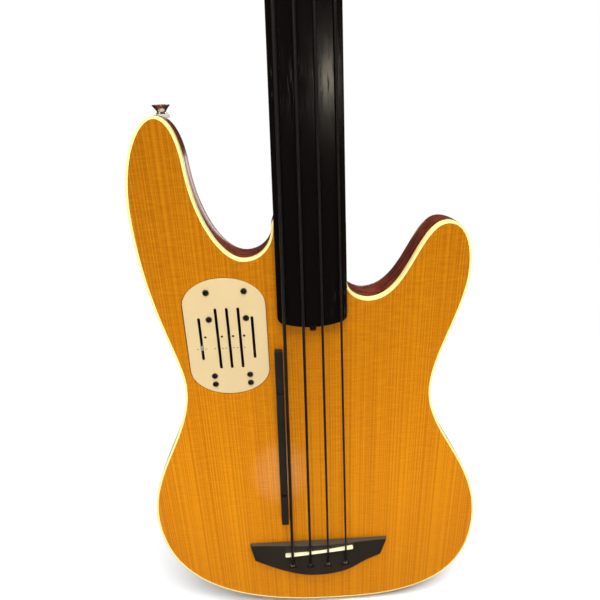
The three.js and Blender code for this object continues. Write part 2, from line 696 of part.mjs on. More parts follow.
function tunerHousing(side) {
  const plate = slab(roundedRectangle(-13, 19, -13, 20, 3), PLATE_BACK, PLATE_BACK + 2.4, 3);
  const sleeve = rod([0, 0, PLATE_BACK], [0, 0, 1.5], 8, 16);
  const flange = rod([0, 0, GAP], [0, 0, 1.8], 11, 16);
  const ears = [[-10, -6], [8, 13]].map(([x0, x1]) =>
    box(x0, x1, side * WORM.distance - 5, side * WORM.distance + 5, PLATE_BACK - 8, PLATE_BACK + 1));
  const shaftY = side * WORM.distance;
  const shaftBore = rod([-20, shaftY, WORM_HEIGHT], [30, shaftY, WORM_HEIGHT], WORM.shaft + GAP, 10);
  const postBore = rod([0, 0, -40], [0, 0, 20], POST.radius + GAP, 16);
  const raised = side > 0 ? plate : plate.mirror([0, 1, 0]);
  return cut(join(raised, sleeve, flange, ...ears), shaftBore, postBore);
}

function tunerPost() {
  const { radius, waist, top, wrapFloor } = POST;
  const profile = [
    [0, PLATE_BACK - 1],
    [radius, PLATE_BACK - 1],
    [radius, 2.6],
    [waist, wrapFloor - 0.5],
    [waist, 14],
    [radius, 16],
    [radius, top],
    [0, top],
  ];
  const post = turned(profile, [0, 0, 0], [0, 0, 1], 12);
  const slot = box(-1.4, 1.4, -10, 10, top - 4, top + 2);
  return cut(join(post, wormWheel()), slot);
}

function wormWheel() {
  const shape = new THREE.Shape();
  const { teeth, tip, root, thickness } = WHEEL;
  for (let tooth = 0; tooth < teeth; tooth += 1) {
    [[root, 0], [tip, 0.5]].forEach(([radius, part]) => {
      const angle = ((tooth + part) / teeth) * Math.PI * 2;
      const point = [radius * Math.cos(angle), radius * Math.sin(angle)];
      if (tooth === 0 && part === 0) {
        shape.moveTo(...point);
      } else {
        shape.lineTo(...point);
      }
    });
  }
  return slab(shape, PLATE_BACK - GAP - thickness, PLATE_BACK - GAP, 1);
}

function tunerKey(side) {
  const y = side * WORM.distance;
  const shaft = rod([-11, y, WORM_HEIGHT], [38, y, WORM_HEIGHT], WORM.shaft, 8);
  const worm = rod([-5.5, y, WORM_HEIGHT], [7.5, y, WORM_HEIGHT], WORM.radius, 8);
  const collar = rod([13.4, y, WORM_HEIGHT], [17, y, WORM_HEIGHT], 3.4, 8);
  const shape = new THREE.Shape();
  shape.moveTo(28, -3);
  shape.bezierCurveTo(32, -5, 31, -11.5, 38, -12);
  shape.bezierCurveTo(47, -12.5, 49, -6, 49, 0);
  shape.bezierCurveTo(49, 6, 47, 12.5, 38, 12);
  shape.bezierCurveTo(31, 11.5, 32, 5, 28, 3);
  const paddle = slab(shape, -2.2, 2.2, 3).translate([0, y, WORM_HEIGHT]);
  return join(shaft, worm, collar, paddle);
}

STRINGS.forEach((string, index) => {
  // The treble side's tuners are mirrored, so that every key sits on the same side of its post.
  const side = string.postX < 0 ? 1 : -1;
  add(`tuner_housing_${string.name}`, placeTuner(tunerHousing(side), string), nickel());
  add(`tuner_key_${string.name}`, placeTuner(tunerKey(side), string), nickel());
  add(`tuner_post_${string.name}`, placeTuner(tunerPost(), string), nickel());
  add(`string_${string.name}`, bassString(index), tape());
});

add('bridge', bridge(), rosewood());
add('saddle', saddle(), bone());
add('piezo_pickup', saddleSlot(-GAP, SADDLE_FLOOR + GAP, PICKUP_TOP), steel());

// ---------------------------------------------------------------- thumb rest

function thumbScrewPlaces() {
  return THUMB_REST_SCREWS.map((share) => {
    const [x0, y0] = THUMB_REST.top;
    const [x1, y1] = THUMB_REST.bottom;
    return [x0 + (x1 - x0) * share, y0 + (y1 - y0) * share];
  });
}

function thumbRest() {
  const { top, bottom, width, height } = THUMB_REST;
  const length = Math.hypot(top[0] - bottom[0], top[1] - bottom[1]);
  const angle = Math.atan2(top[1] - bottom[1], top[0] - bottom[0]) - Math.PI / 2;
  const bar = slab(roundedRectangle(-width / 2, width / 2, -length / 2, length / 2, 1), GAP, height, 2)
    .rotate([0, 0, THREE.MathUtils.radToDeg(angle)])
    .translate([(top[0] + bottom[0]) / 2, (top[1] + bottom[1]) / 2, 0]);
  const holes = thumbScrewPlaces().flatMap(([x, y]) => [
    rod([x, y, -1], [x, y, 10], SCREW_PILOT, 8),
    rod([x, y, height - COUNTERBORE.depth], [x, y, 10], COUNTERBORE.radius, 14),
  ]);
  return cut(bar, ...holes);
}

function screw([x, y], headBottom, headRadius, length) {
  const profile = [
    [0, -length],
    [1.3, -length + 2],
    [1.3, 0],
    [headRadius, 0],
    [headRadius, 0.6],
    [headRadius * 0.6, 1.3],
    [0, 1.3],
  ];
  return turned(profile, [x, y, headBottom], [0, 0, 1], 8);
}

add('thumb_rest', thumbRest(), blackPlastic());
thumbScrewPlaces().forEach((place, index) => {
  const seat = THUMB_REST.height - COUNTERBORE.depth + GAP;
  add(`thumb_rest_screw_${index + 1}`, screw(place, seat, 2.5, 16), steel());
});

// ---------------------------------------------------------------- preamp

function preampPlate() {
  const plate = slab(platePath(0), -PLATE.thickness, 0, 5);
  const half = SLOT_WIDTH / 2;
  const slots = SLIDER_SLOTS.map(({ x, low, high }) =>
    slab(roundedRectangle(x - half, x + half, low, high, half - 0.05), -8, 1, 1));
  const holes = PLATE_SCREWS.map(([x, y]) => rod([x, y, -8], [x, y, 1], SCREW_PILOT, 6));
  return cut(plate, ...slots, ...holes);
}

// The circuit board with its five slide potentiometers and four screw posts.
function preampBoard() {
  const root = BOARD_TOP - 0.5; // parts sink a little into the sheet, so that they join it
  const sheet = box(-103, -47, 214.5, 292, BOARD_TOP - BOARD_SHEET, BOARD_TOP);
  const pots = SLIDER_SLOTS.map(({ x, low, high }) => box(x - 3.4, x + 3.4, low - 1.5, high + 1.5, root, -4));
  const channels = SLIDER_SLOTS.map(({ x, low, high }) =>
    box(x - SLOT_WIDTH / 2, x + SLOT_WIDTH / 2, low, high, BOARD_TOP + 1, 0));
  const inBoard = PLATE_SCREWS.filter(([, , into]) => into === 'board');
  const postTop = -PLATE.thickness - GAP;
  const posts = inBoard.map(([x, y]) => box(x - 2.4, x + 2.4, y - 2.4, y + 2.4, root, postTop));
  const bores = inBoard.map(([x, y]) => rod([x, y, BOARD_TOP + 1], [x, y, 0], SCREW_PILOT, 8));
  const chips = box(-100, -50, 286, 291, BOARD_TOP - 5, BOARD_TOP - 1);
  const socket = box(-92, -84, 216, 224, BOARD_TOP - 8, BOARD_TOP - 1);
  return cut(join(sheet, ...pots, ...posts, chips, socket), ...channels, ...bores);
}

function sliderLever({ x, lever }) {
  const { width, length, top, bottom } = LEVER;
  return box(x - width / 2, x + width / 2, lever - length / 2, lever + length / 2, bottom, top);
}

add('preamp_plate', preampPlate(), creamPlastic());
add('preamp_board', preampBoard(), greenLaminate());
PLATE_SCREWS.forEach(([x, y, into], index) => {
  const length = into === 'wood' ? 14 : 9;
  add(`preamp_screw_${index + 1}`, screw([x, y], GAP, 2.75, length), steel());
});
SLIDER_SLOTS.forEach((slider) => {
  add(`slider_${slider.name}`, sliderLever(slider), slider.name === 'gain' ? nickel() : blackPlastic());
});

// ---------------------------------------------------------------- battery, jack and strap buttons

// The battery box's outer wall, grown by a margin, between two depths.
function batteryFrame(margin, z0, z1) {
  const { x, y, width, height } = BATTERY;
  const halfWidth = width / 2 + 8 + margin;
  const halfHeight = height / 2 + 4 + margin;
  return box(x - halfWidth, x + halfWidth, y - halfHeight, y + halfHeight, z0, z1);
}

// A rod on the battery door's hinge axis, this far to each side of the box's middle.
function onHinge(reach, radius, sides) {
  const { y, z } = DOOR_HINGE;
  return rod([BATTERY.x - reach, y, z], [BATTERY.x + reach, y, z], radius, sides);
}

function batteryBox() {
  const { x, y, width, height } = BATTERY;
  const tub = batteryFrame(0, BOX_FLANGE, -BODY_DEPTH + BOX_DEPTH);
  const flange = slab(roundedRectangle(x - 41, x + 41, y - 24, y + 24, 4), BOX_FLANGE, -BODY_DEPTH - GAP, 3);
  const bay = box(x - width / 2 - 2, x + width / 2 + 6, y - height / 2 - 2, y + height / 2 + 2,
    BOX_FLANGE - 5, -BODY_DEPTH + BOX_DEPTH - 2);
  const ears = [x - 39, x + 35.5].map((left) =>
    box(left, left + 3.5, DOOR_HINGE.y - 2, DOOR_HINGE.y + 2, LID_FRONT - 3.4, BOX_FLANGE + 1));
  return cut(join(tub, flange, ...ears), bay, onHinge(45, DOOR_HINGE.pin + GAP, 8));
}

function battery() {
  const { x, y, width, height, depth } = BATTERY;
  const back = -BODY_DEPTH + 1.5;
  const middle = back + depth / 2;
  const end = x + width / 2;
  const cell = box(x - width / 2, end - 3, y - height / 2, y + height / 2, back, back + depth);
  const terminals = [y - 6, y + 6].map((at) => rod([end - 4, at, middle], [end, at, middle], 3.2, 12));
  return join(cell, ...terminals);
}

function batteryDoor() {
  const { x, y } = BATTERY;
  const lid = slab(roundedRectangle(x - 35, x + 35, y - 20, DOOR_HINGE.y, 2), LID_FRONT - 2, LID_FRONT, 2);
  const pull = box(x - 7, x + 7, y - 22, y - 19, LID_FRONT - 2, LID_FRONT - 0.4);
  return join(lid, pull, onHinge(35, DOOR_HINGE.knuckle, 10), onHinge(38.5, DOOR_HINGE.pin, 8));
}

add('battery_box', batteryBox(), blackPlastic());
add('battery', battery(), steel());
add('battery_door', batteryDoor(), blackPlastic());

// A rod on the jack's axis, between two places along the instrument.
const onJack = (y0, y1, radius, sides) => rod([JACK.x, y0, EDGE_MID], [JACK.x, y1, EDGE_MID], radius, sides);

function outputJack() {
  const { faceY, innerY, bore, barrel, collar } = JACK;
  const sleeve = onJack(faceY - 3, innerY, barrel, 20);
  const shoulder = onJack(faceY + 5, innerY, collar, 20);
  return cut(join(sleeve, shoulder), onJack(faceY - 5, innerY - 2, bore, 16));
}

function jackNut() {
  const washer = onJack(JACK.faceY + 1.2, JACK.faceY - 0.2, 12.6, 24);
  const nut = onJack(JACK.faceY + 0.5, JACK.faceY - 2.4, 8.4, 6);
  return cut(join(washer, nut), onJack(-100, -60, JACK.barrel + GAP, 20));
}

add('output_jack', outputJack(), steel());
add('jack_nut', jackNut(), nickel());

// Strap buttons and washers face out from their seat: 1 upwards, -1 downwards.
function strapButton([x, y, z], out) {
  const { radius, length } = STRAP_SCREW;
  const profile = [
    [0, -length],
    [radius, -length + 2],
    [radius, 0],
    [4.4, 0],
    [3.4, 1.3],
    [3.5, 2],
    [6.7, 6.1],
    [6.5, 6.8],
    [0, 6.8],
  ];
  return turned(profile, [x, y + out * 0.2, z], [0, out, 0], 20);
}

function strapWasher([x, y, z], out) {
  const felt = rod([x, y - out * (SPOT_FACE.depth - GAP), z], [x, y - out * 0.1, z], WASHER_RADIUS, 20);
  return cut(felt, rod([x, y - 5, z], [x, y + 5, z], STRAP_SCREW.radius + GAP, 12));
}

const felt = () => paint(0xd8cfae, 0.8);
add('strap_button_horn', strapButton(HORN_BUTTON, 1), nickel());
add('strap_button_tail', strapButton(TAIL_BUTTON, -1), nickel());
add('strap_washer_horn', strapWasher(HORN_BUTTON, 1), felt());
add('strap_washer_tail', strapWasher(TAIL_BUTTON, -1), felt());

// The lead from the preamp to the output jack, through the bass-side chamber.
function outputLead() {
  const route = new THREE.CatmullRomCurve3([
    [-88, 220, BOARD_TOP - 8 - GAP], [-88, 218.5, -26.5], [-88, 212, -30], [-88, 180, -30], [-88, 130, -29],
    [-90, 90, -17], [-92, 45, -13], [-90, 10, -17], [-86, -14, -22], [-76, -26.5, -24], [-62, -38.9, -23.3],
    [-49, -50.3, -22.6], [-42, -51, EDGE_MID], [JACK.x, -55, EDGE_MID], [JACK.x, -61.2, EDGE_MID],
  ].map((point) => new THREE.Vector3(...point)));
  const section = new THREE.Shape();
  section.absarc(0, 0, 1.5, 0, Math.PI * 2);
  const geometry = new THREE.ExtrudeGeometry(section, { steps: 26, extrudePath: route, curveSegments: 3 });
  return solidOf(geometry);
}

add('output_lead', outputLead(), paint(0x202020, 0.6));

// Stand the instrument upright, with its origin at the nut, where a hanger holds it.
const upright = new THREE.Group();
instrument.rotation.x = Math.PI / 2;
instrument.position.z = -NUT_Y;
upright.add(instrument);

export default upright;
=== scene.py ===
"""Looks of a fretless four-string electro-acoustic bass guitar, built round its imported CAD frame.

Shapes are worked out in the instrument's own millimetres: x across the strings towards the treble
side, y along them towards the headstock, z out of the soundboard. The frame stands upright in
metres, so world() turns one into the other.
"""

import json
from math import atan, atan2, copysign, cos, hypot, pi, radians, sin, sqrt, tan, tau

import bmesh
import bpy
from mathutils import Matrix, Vector

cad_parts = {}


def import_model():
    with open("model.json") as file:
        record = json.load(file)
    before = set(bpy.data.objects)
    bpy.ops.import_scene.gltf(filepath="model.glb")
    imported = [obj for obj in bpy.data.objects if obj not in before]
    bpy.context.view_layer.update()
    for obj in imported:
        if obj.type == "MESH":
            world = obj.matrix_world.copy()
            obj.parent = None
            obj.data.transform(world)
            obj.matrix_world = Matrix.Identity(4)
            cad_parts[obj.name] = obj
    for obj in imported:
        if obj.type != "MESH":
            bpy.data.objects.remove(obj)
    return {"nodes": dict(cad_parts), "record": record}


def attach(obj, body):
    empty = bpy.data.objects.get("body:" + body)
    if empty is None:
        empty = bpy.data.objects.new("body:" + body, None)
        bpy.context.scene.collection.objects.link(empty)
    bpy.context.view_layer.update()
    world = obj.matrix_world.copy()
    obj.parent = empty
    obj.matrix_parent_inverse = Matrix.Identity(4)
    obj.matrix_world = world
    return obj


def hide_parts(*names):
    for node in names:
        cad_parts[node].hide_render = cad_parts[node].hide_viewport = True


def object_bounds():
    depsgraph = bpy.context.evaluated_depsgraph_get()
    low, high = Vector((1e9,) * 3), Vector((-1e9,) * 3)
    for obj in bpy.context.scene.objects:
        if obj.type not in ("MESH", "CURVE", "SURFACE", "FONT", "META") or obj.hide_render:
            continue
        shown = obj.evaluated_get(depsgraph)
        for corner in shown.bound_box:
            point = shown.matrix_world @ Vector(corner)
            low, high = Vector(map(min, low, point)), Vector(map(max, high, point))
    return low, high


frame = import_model()
CAD_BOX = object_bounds()

# Driving dimensions, the same as the CAD's, in millimetres.
SCALE_LENGTH = 864
SADDLE_Y = -4
NUT_Y = SADDLE_Y + SCALE_LENGTH
BODY_DEPTH = 45
TOP_THICKNESS = 5
BINDING_WIDTH = 2
BACK_WALL = 7
BACK_ROUND = 38
BOARD_THICKNESS = 6.5
BOARD_RADIUS = 400
BOARD_END_Y = 264.6
BOARD_END_HALF = 30
NUT_HALF = 20
NECK_DEPTH_AT_NUT = 14.5
NECK_DEPTH_AT_HEEL = 17
NECK_POWER = 2 / 2.4  # 1 is a half ellipse, and less is squarer
HEEL_Y = 362
TENON_END_Y = 268
TRUSS_X = 0.5
TRUSS_Z = -5.2
ACCESS_HALF = 2.8
ACCESS_FLOOR = -8.2
ACCESS_END_Y = 258.4
VOLUTE_Y = NUT_Y - 24
VOLUTE_LENGTH = 66
VOLUTE_SWELL = 3.2
HEAD_TILT = radians(10)
HEAD_BASE_Y = NUT_Y + 6
HEAD_THICKNESS = 15
HEAD_LENGTH = 178
GAP = 0.3
CLEAR = 10  # how high a tool that cuts from above stands over the soundboard
BACK = -BODY_DEPTH
EDGE_MID = -22  # height of the strap buttons and the jack

# name, diameter, and where its post stands across and along the headstock
STRINGS = [("e", 3.0, -24, 58), ("a", 2.5, -21, 122), ("d", 2.2, 21, 122), ("g", 2.0, 24, 58)]
SPACING_AT_SADDLE = 19
SPACING_AT_NUT = 10
SADDLE_TOP = 9.7
SADDLE_SLANT = 5.8 / (3 * SPACING_AT_SADDLE)
SADDLE_SPAN = (-36.5, 36.8)
SADDLE_THICKNESS = 2.8
NUT_SLOT_FLOOR = 7
ANCHOR_Y = -25
BALL_Y = ANCHOR_Y - 2
KEYHOLE_RADIUS = 3.5
BRIDGE_PAINTED_LIGHT_FROM = -0.8559  # metres: above this the bridge's front edge is painted lighter, a painted highlight for the light that falls on it from above
BRIDGE_WING = 3.4
BRIDGE_CROWN = 4.0  # how much thicker its middle is

POST_RADIUS = 6.2
POST_WAIST = 4.6
POST_TOP = 19
WRAP_FLOOR = 4
WRAP_TURNS = 3.1
TUNER_BACK = -HEAD_THICKNESS - GAP - 2.4  # the back of a tuner's base plate
WORM_Y = 13.4
WORM_Z = TUNER_BACK - 3.6
WHEEL_TEETH = 20
WHEEL_THICKNESS = 5.4

# Knots of the body's outline, anticlockwise from the tip of the bass horn:
# x, y, heading in degrees, handle before, handle after, how far the back is drawn in.
BODY_KNOTS = [
    (-112, 439, 180, 12, 12, 14),
    (-142, 364.5, 270, 48, 79, 16),
    (-118, 207.5, 270, 29.5, 53.5, 16),
    (-166.5, 46, 270, 64.5, 100.5, 16),
    (8.5, -89, 0, 95, 44, 6),
    (166.5, 21.5, 90, 118, 80, 16),
    (109, 192, 90, 51, 37.5, 16),
    (135, 309.5, 90, 36.5, 26.5, 16),
    (112.5, 351.5, 180, 13.5, 25, 10),
    (49.5, 286.5, 180, 33, 6.5, 8),
    (30.2, 305, 90, 14, 14, 6),
    (29.5, 352, 90, 14, 5.5, 5),
    (19.5, HEEL_Y, 180, 5.5, 12, 5),
    (-21, HEEL_Y, 180, 12, 5.5, 5),
    (-31, 352, 270, 5.5, 12, 5),
    (-54.5, 326.5, 180, 15, 16, 7),
    (-93.5, 402.5, 94.5, 45, 18, 9),
]

PLATE = (-75, 254.5, 35.5, 56.8, 31)  # x, y, half width, half length, half of its straight side
PLATE_THICKNESS = 3
# name, x, low and high ends, and where the lever stands
SLIDERS = [
    ("gain", -97.7, 234, 275.4, 245.6),
    ("treble", -82.8, 224.4, 283.8, 255.5),
    ("mid", -73.1, 224.4, 283.8, 255.5),
    ("bass", -63.3, 224.4, 283.8, 256.5),
    ("volume", -51.9, 233.5, 275, 241),
]
MARK_LEVELS = (-0.01, 0.04)
MARK_DOTS_Y = 256.8
MARK_TICKS_Y = 245.2
MARK_DOTS_X = (-93.8, -79.4, -69.6, -59.9)
MARK_TICKS_X = (-101.6, -94.2, -86.6, -79.4, -76.6, -69.9, -66.7, -60.2)
SLOT_HALF = 1.2
PREAMP_BAY = (-105, -45, 213, 294, 3)  # its sides and its corners' radius
PLATE_SCREWS = [
    (-88.9, 298.8), (-57, 298.8), (-88.9, 273.8), (-57, 273.8),
    (-89.5, 217.2), (-57.6, 217.2), (-89.5, 208.6), (-57.6, 208.6),
]
THUMB_TOP = (-30.7, 241.6)
THUMB_BOTTOM = (-34.2, 35.3)
THUMB_HALF = 3.7
THUMB_HEIGHT = 6
THUMB_SCREWS = (0.203, 0.802)  # shares of its length
BATTERY = (-100, 55, 48.5, 26.5, 17.5)  # x, y, width, height, depth
FLANGE_HALF = (41, 24)
LID_HALF = (35, 20)
LID_THICKNESS = 2
BOX_FLANGE = BACK - GAP - 1.6
LID_FRONT = BOX_FLANGE - GAP
HINGE_Y = BATTERY[1] + LID_HALF[1]
HINGE_Z = LID_FRONT - 1.6
NECK_BOLTS = [(-13, 290), (13, 290), (-13, 325), (13, 325)]
JACK_X = -38
JACK_FACE_Y = -88
STRAP_BUTTONS = {"horn": ((-109.7, 438.9, EDGE_MID), 1), "tail": ((8.5, -89, EDGE_MID), -1)}
SPOT_FACE = 2.4  # how deep a strap washer sits in the rim
SPOT_RADIUS = 6.4

UP = (0, 0, 1)
LENS = 29.52
CAMERA_PLACE = (-18, 455.3, 383.9)
CAMERA_TURNS = [(-1.21, "Z"), (90 - 23.52, "X"), (-2.21, "Z")]  # degrees

# Lamps in metres: name, place, what it points at, its two sides, its power in watts.
LAMPS = [
    ("ceiling", (0.15, -0.8, 1.3), (0, 0, -0.6), (1.6, 0.9), 62),
    ("front", (-0.8, -1.3, -0.9), (0, 0, -0.8), (1.0, 1.0), 6),
    ("behind", (0.5, 1.4, 0.6), (0, 0, -0.5), (1.2, 0.8), 8),
]
SKY_STRENGTH = 0.42
# The mirrored room's colours, from its floor at 0 to its ceiling at 1.
ROOM_SHADES = [(0.5, (0.035, 0.03, 0.027)), (0.72, (0.05, 0.045, 0.042)), (1.0, (0.36, 0.35, 0.34))]
# Soft patches that gloss mirrors: where they lie, their half angle in degrees, their colour.
ROOM_PATCHES = [
    ((0.20, 0.973, -0.095), 3, (1.3, 1.05, 0.85)),
    ((0.165, 0.980, -0.090), 1.8, (0.9, 1.3, 2.0)),
    ((0.12, 0.987, -0.100), 2.5, (2.8, 2.4, 2.1)),
    ((0.04, 0.990, -0.115), 3.5, (1.4, 0.95, 0.7)),
    ((0.0, 0.62, 0.78), 16, (4.0, 3.7, 3.4)),
    ((0.172, -0.985, 0.0), 7, (0.8, 0.74, 0.66)),
    ((0.174, -0.985, 0.008), 2.2, (20, 17.5, 14)),
    ((-0.035, -0.735, -0.678), 3.6, (6.0, 4.2, 3.4)),
    ((0.45, -0.79, -0.42), 5, (6.0, 5.4, 4.6)),
    ((-0.75, -0.66, 0.05), 4, (2.6, 2.6, 2.6)),
    ((-0.60, -0.50, 0.62), 20, (2.4, 2.3, 2.2)),
    ((0.45, 0.65, 0.61), 22, (1.8, 1.75, 1.7)),
]
FLOOR_RADIUS = 9  # metres
FLOOR_SIDES = 48
FLOOR_FADE = (0.35, 1.0)

# ---- camera and studio


def world(x, y, z):
    """A point of the instrument, in the frame's metres."""
    return Vector((x, -z, y - NUT_Y)) / 1000


def add_object(name, data):
    """A new object in the scene."""
    made = bpy.data.objects.new(name, data)
    bpy.context.scene.collection.objects.link(made)
    return made


def make_camera():
    """A 29.5 mm lens in front of the cutaways, looking down at the body."""
    data = bpy.data.cameras.new("camera")
    data.sensor_width = 36
    data.lens = LENS
    data.clip_start = 0.01
    camera = add_object("camera", data)
    place = Matrix.Translation(world(*CAMERA_PLACE))
    for angle, axis in CAMERA_TURNS:
        place = place @ Matrix.Rotation(radians(angle), 4, axis)
    camera.matrix_world = place
    bpy.context.scene.camera = camera


def area_light(name, place, aim, size, power):
    """A soft lamp that neither the camera nor any gloss sees."""
    data = bpy.data.lights.new(name, "AREA")
    data.shape = "RECTANGLE"
    data.size, data.size_y = size
    data.energy = power
    lamp = add_object(name, data)
    lamp.location = place
    lamp.rotation_euler = (Vector(aim) - Vector(place)).to_track_quat("-Z", "Y").to_euler()
    lamp.visible_camera = False
    lamp.visible_glossy = False


def add_node(tree, kind, inputs=(), **settings):
    """A new node. Each of its inputs is given as an output to link or as a plain value."""
    node = tree.nodes.new("ShaderNode" + kind)
    for name, value in settings.items():
        setattr(node, name, value)
    for socket, value in dict(inputs).items():
        if isinstance(value, bpy.types.NodeSocket):
            tree.links.new(value, node.inputs[socket])
        else:
            node.inputs[socket].default_value = value
    return node


def mirrored_room(tree):
    """What gloss reflects: a dim room with a lighter ceiling and a few soft bright patches."""
    direction = add_node(tree, "TexCoord").outputs["Generated"]
    split = add_node(tree, "SeparateXYZ", {0: direction})
    height = add_node(tree, "MapRange", {"From Min": -1, "Value": split.outputs["Z"]})
    dim = add_node(tree, "ValToRGB", {"Fac": height.outputs[0]})
    stops = dim.color_ramp.elements
    stops.new(ROOM_SHADES[1][0])
    for stop, (level, colour) in zip(stops, ROOM_SHADES):
        stop.position = level
        stop.color = (*colour, 1)
    room = dim.outputs["Color"]
    for heading, spread, colour in ROOM_PATCHES:
        aim = Vector(heading).normalized()
        toward = add_node(tree, "VectorMath", {0: direction, 1: aim}, operation="DOT_PRODUCT")
        rim, core = (cos(radians(angle)) for angle in (spread, spread * 0.35))
        inputs = {"Value": toward.outputs["Value"], "From Min": rim, "From Max": core}
        glow = add_node(tree, "MapRange", inputs, interpolation_type="SMOOTHSTEP")
        mix = add_node(tree, "Mix", {0: glow.outputs[0], 6: room, 7: (*colour, 1)}, data_type="RGBA")
        room = mix.outputs[2]
    return room


def make_sky():
    """Even light for the surfaces, a room for their gloss, and plain white behind the object."""
    sky = bpy.data.worlds.new("studio")
    sky.use_nodes = True
    bpy.context.scene.world = sky
    tree = sky.node_tree
    even = tree.nodes["Background"]
    even.inputs["Color"].default_value = (1, 1, 1, 1)
    even.inputs["Strength"].default_value = SKY_STRENGTH
    white = add_node(tree, "Background", {"Color": (1, 1, 1, 1)})
    mirrored = add_node(tree, "Background", {"Color": mirrored_room(tree)})
    rays = add_node(tree, "LightPath").outputs
    light = even
    for ray, seen in (("Is Glossy Ray", mirrored), ("Is Camera Ray", white)):
        light = add_node(tree, "MixShader", {0: rays[ray], 1: light.outputs[0], 2: seen.outputs[0]})
    tree.links.new(light.outputs[0], tree.nodes["World Output"].inputs["Surface"])


def make_studio():
    """A pale floor with no horizon, an even sky, and soft lights above and in front."""
    bpy.context.scene.view_settings.view_transform = "Standard"
    make_sky()
    for lamp in LAMPS:
        area_light(*lamp)

    floor_z = CAD_BOX[0].z - 0.001
    mesh = bpy.data.meshes.new("floor")
    rim = [(x, y, floor_z) for x, y in circle(0, 0, FLOOR_RADIUS, FLOOR_SIDES)]
    mesh.from_pydata(rim, [], [tuple(range(FLOOR_SIDES))])
    floor = add_object("floor", mesh)
    floor.visible_glossy = False
    paint = Look("floor_paint", {"Roughness": 0.9})
    paint.vary("Base Color", (0.91, 0.91, 0.91), (0.94, 0.94, 0.94), paint.noise((4, 4, 4)))
    paint.fade_to_white(*FLOOR_FADE)
    mesh.materials.append(paint.material)


# ---- materials


class Look:
    """A Principled material. Its textures read object coordinates, which are the frame's metres."""

    def __init__(self, name, sockets):
        self.material = bpy.data.materials.new(name)
        self.material.use_nodes = True
        self.tree = self.material.node_tree
        self.shader = self.tree.nodes["Principled BSDF"]
        for socket, value in sockets.items():
            self.shader.inputs[socket].default_value = value
        self.place = self.add("TexCoord").outputs["Object"]

    def add(self, kind, inputs=(), **settings):
        return add_node(self.tree, kind, inputs, **settings)

    def feed(self, socket, output):
        self.tree.links.new(output, self.shader.inputs[socket])

    def math(self, operation, *values):
        return self.add("Math", enumerate(values), operation=operation).outputs[0]

    def share(self, axis, start, end):
        """How far along an axis the surface lies between two places in metres, from 0 to 1."""
        place = self.add("SeparateXYZ", {0: self.place}).outputs[axis]
        return self.add("MapRange", {"From Min": start, "From Max": end, "Value": place}).outputs[0]

    def mirror_halves(self):
        """Both halves of a bookmatched panel read the same figure, outwards from the middle."""
        x, y, z = self.add("SeparateXYZ", {0: self.place}).outputs
        self.place = self.add("CombineXYZ", {0: self.math("ABSOLUTE", x), 1: y, 2: z}).outputs[0]

    def noise(self, scale, detail=3, distortion=0.0, offset=(0, 0, 0)):
        """Noise with this many waves per metre along x, y and z."""
        stretch = self.add("Mapping", {"Vector": self.place, "Scale": scale, "Location": offset})
        inputs = {"Vector": stretch.outputs[0], "Scale": 1, "Detail": detail, "Distortion": distortion}
        return self.add("TexNoise", inputs).outputs["Fac"]

    def steps(self, value, dark_until, light_from):
        """Sharpens a value: 0 up to one level, 1 from another, and a ramp between."""
        ramp = self.add("ValToRGB", {"Fac": value})
        for stop, level in zip(ramp.color_ramp.elements, (dark_until, light_from)):
            stop.position = level
        return ramp.outputs["Color"]

    def mix(self, first, second, factor):
        colours = {6: first, 7: second}
        inputs = {socket: (*value, 1) if isinstance(value, tuple) else value
                  for socket, value in colours.items()}
        return self.add("Mix", {0: factor, **inputs}, data_type="RGBA").outputs[2]

    def over(self, colour, coat, mask, weight):
        """The colour under a second one that lies where the mask is, as strong as its weight."""
        return self.mix(colour, coat, self.math("MULTIPLY", mask, weight))

    def vary(self, socket, low, high, factor):
        """Feeds a socket from low, where the factor is 0, to high, where it is 1."""
        if isinstance(low, tuple):
            value = self.mix(low, high, factor)
        else:
            value = self.add("MapRange", {"To Min": low, "To Max": high, "Value": factor}).outputs[0]
        self.feed(socket, value)

    def fade_to_white(self, near, far):
        """Turns from paint to plain white light between two distances from the upright axis."""
        flat = self.add("VectorMath", {0: self.place, 1: (1, 1, 0)}, operation="MULTIPLY")
        reach = self.add("VectorMath", {0: flat.outputs[0]}, operation="LENGTH").outputs["Value"]
        share = self.add("MapRange", {"From Min": near, "From Max": far, "Value": reach},
                         interpolation_type="SMOOTHSTEP")
        white = self.add("Emission")
        blend = self.add("MixShader", {0: share.outputs[0], 1: self.shader.outputs[0], 2: white.outputs[0]})
        self.tree.links.new(blend.outputs[0], self.tree.nodes["Material Output"].inputs["Surface"])

    def bump(self, height, strength, depth):
        """Relief this many metres deep."""
        relief = self.add("Bump", {"Strength": strength, "Distance": depth, "Height": height})
        self.feed("Normal", relief.outputs[0])


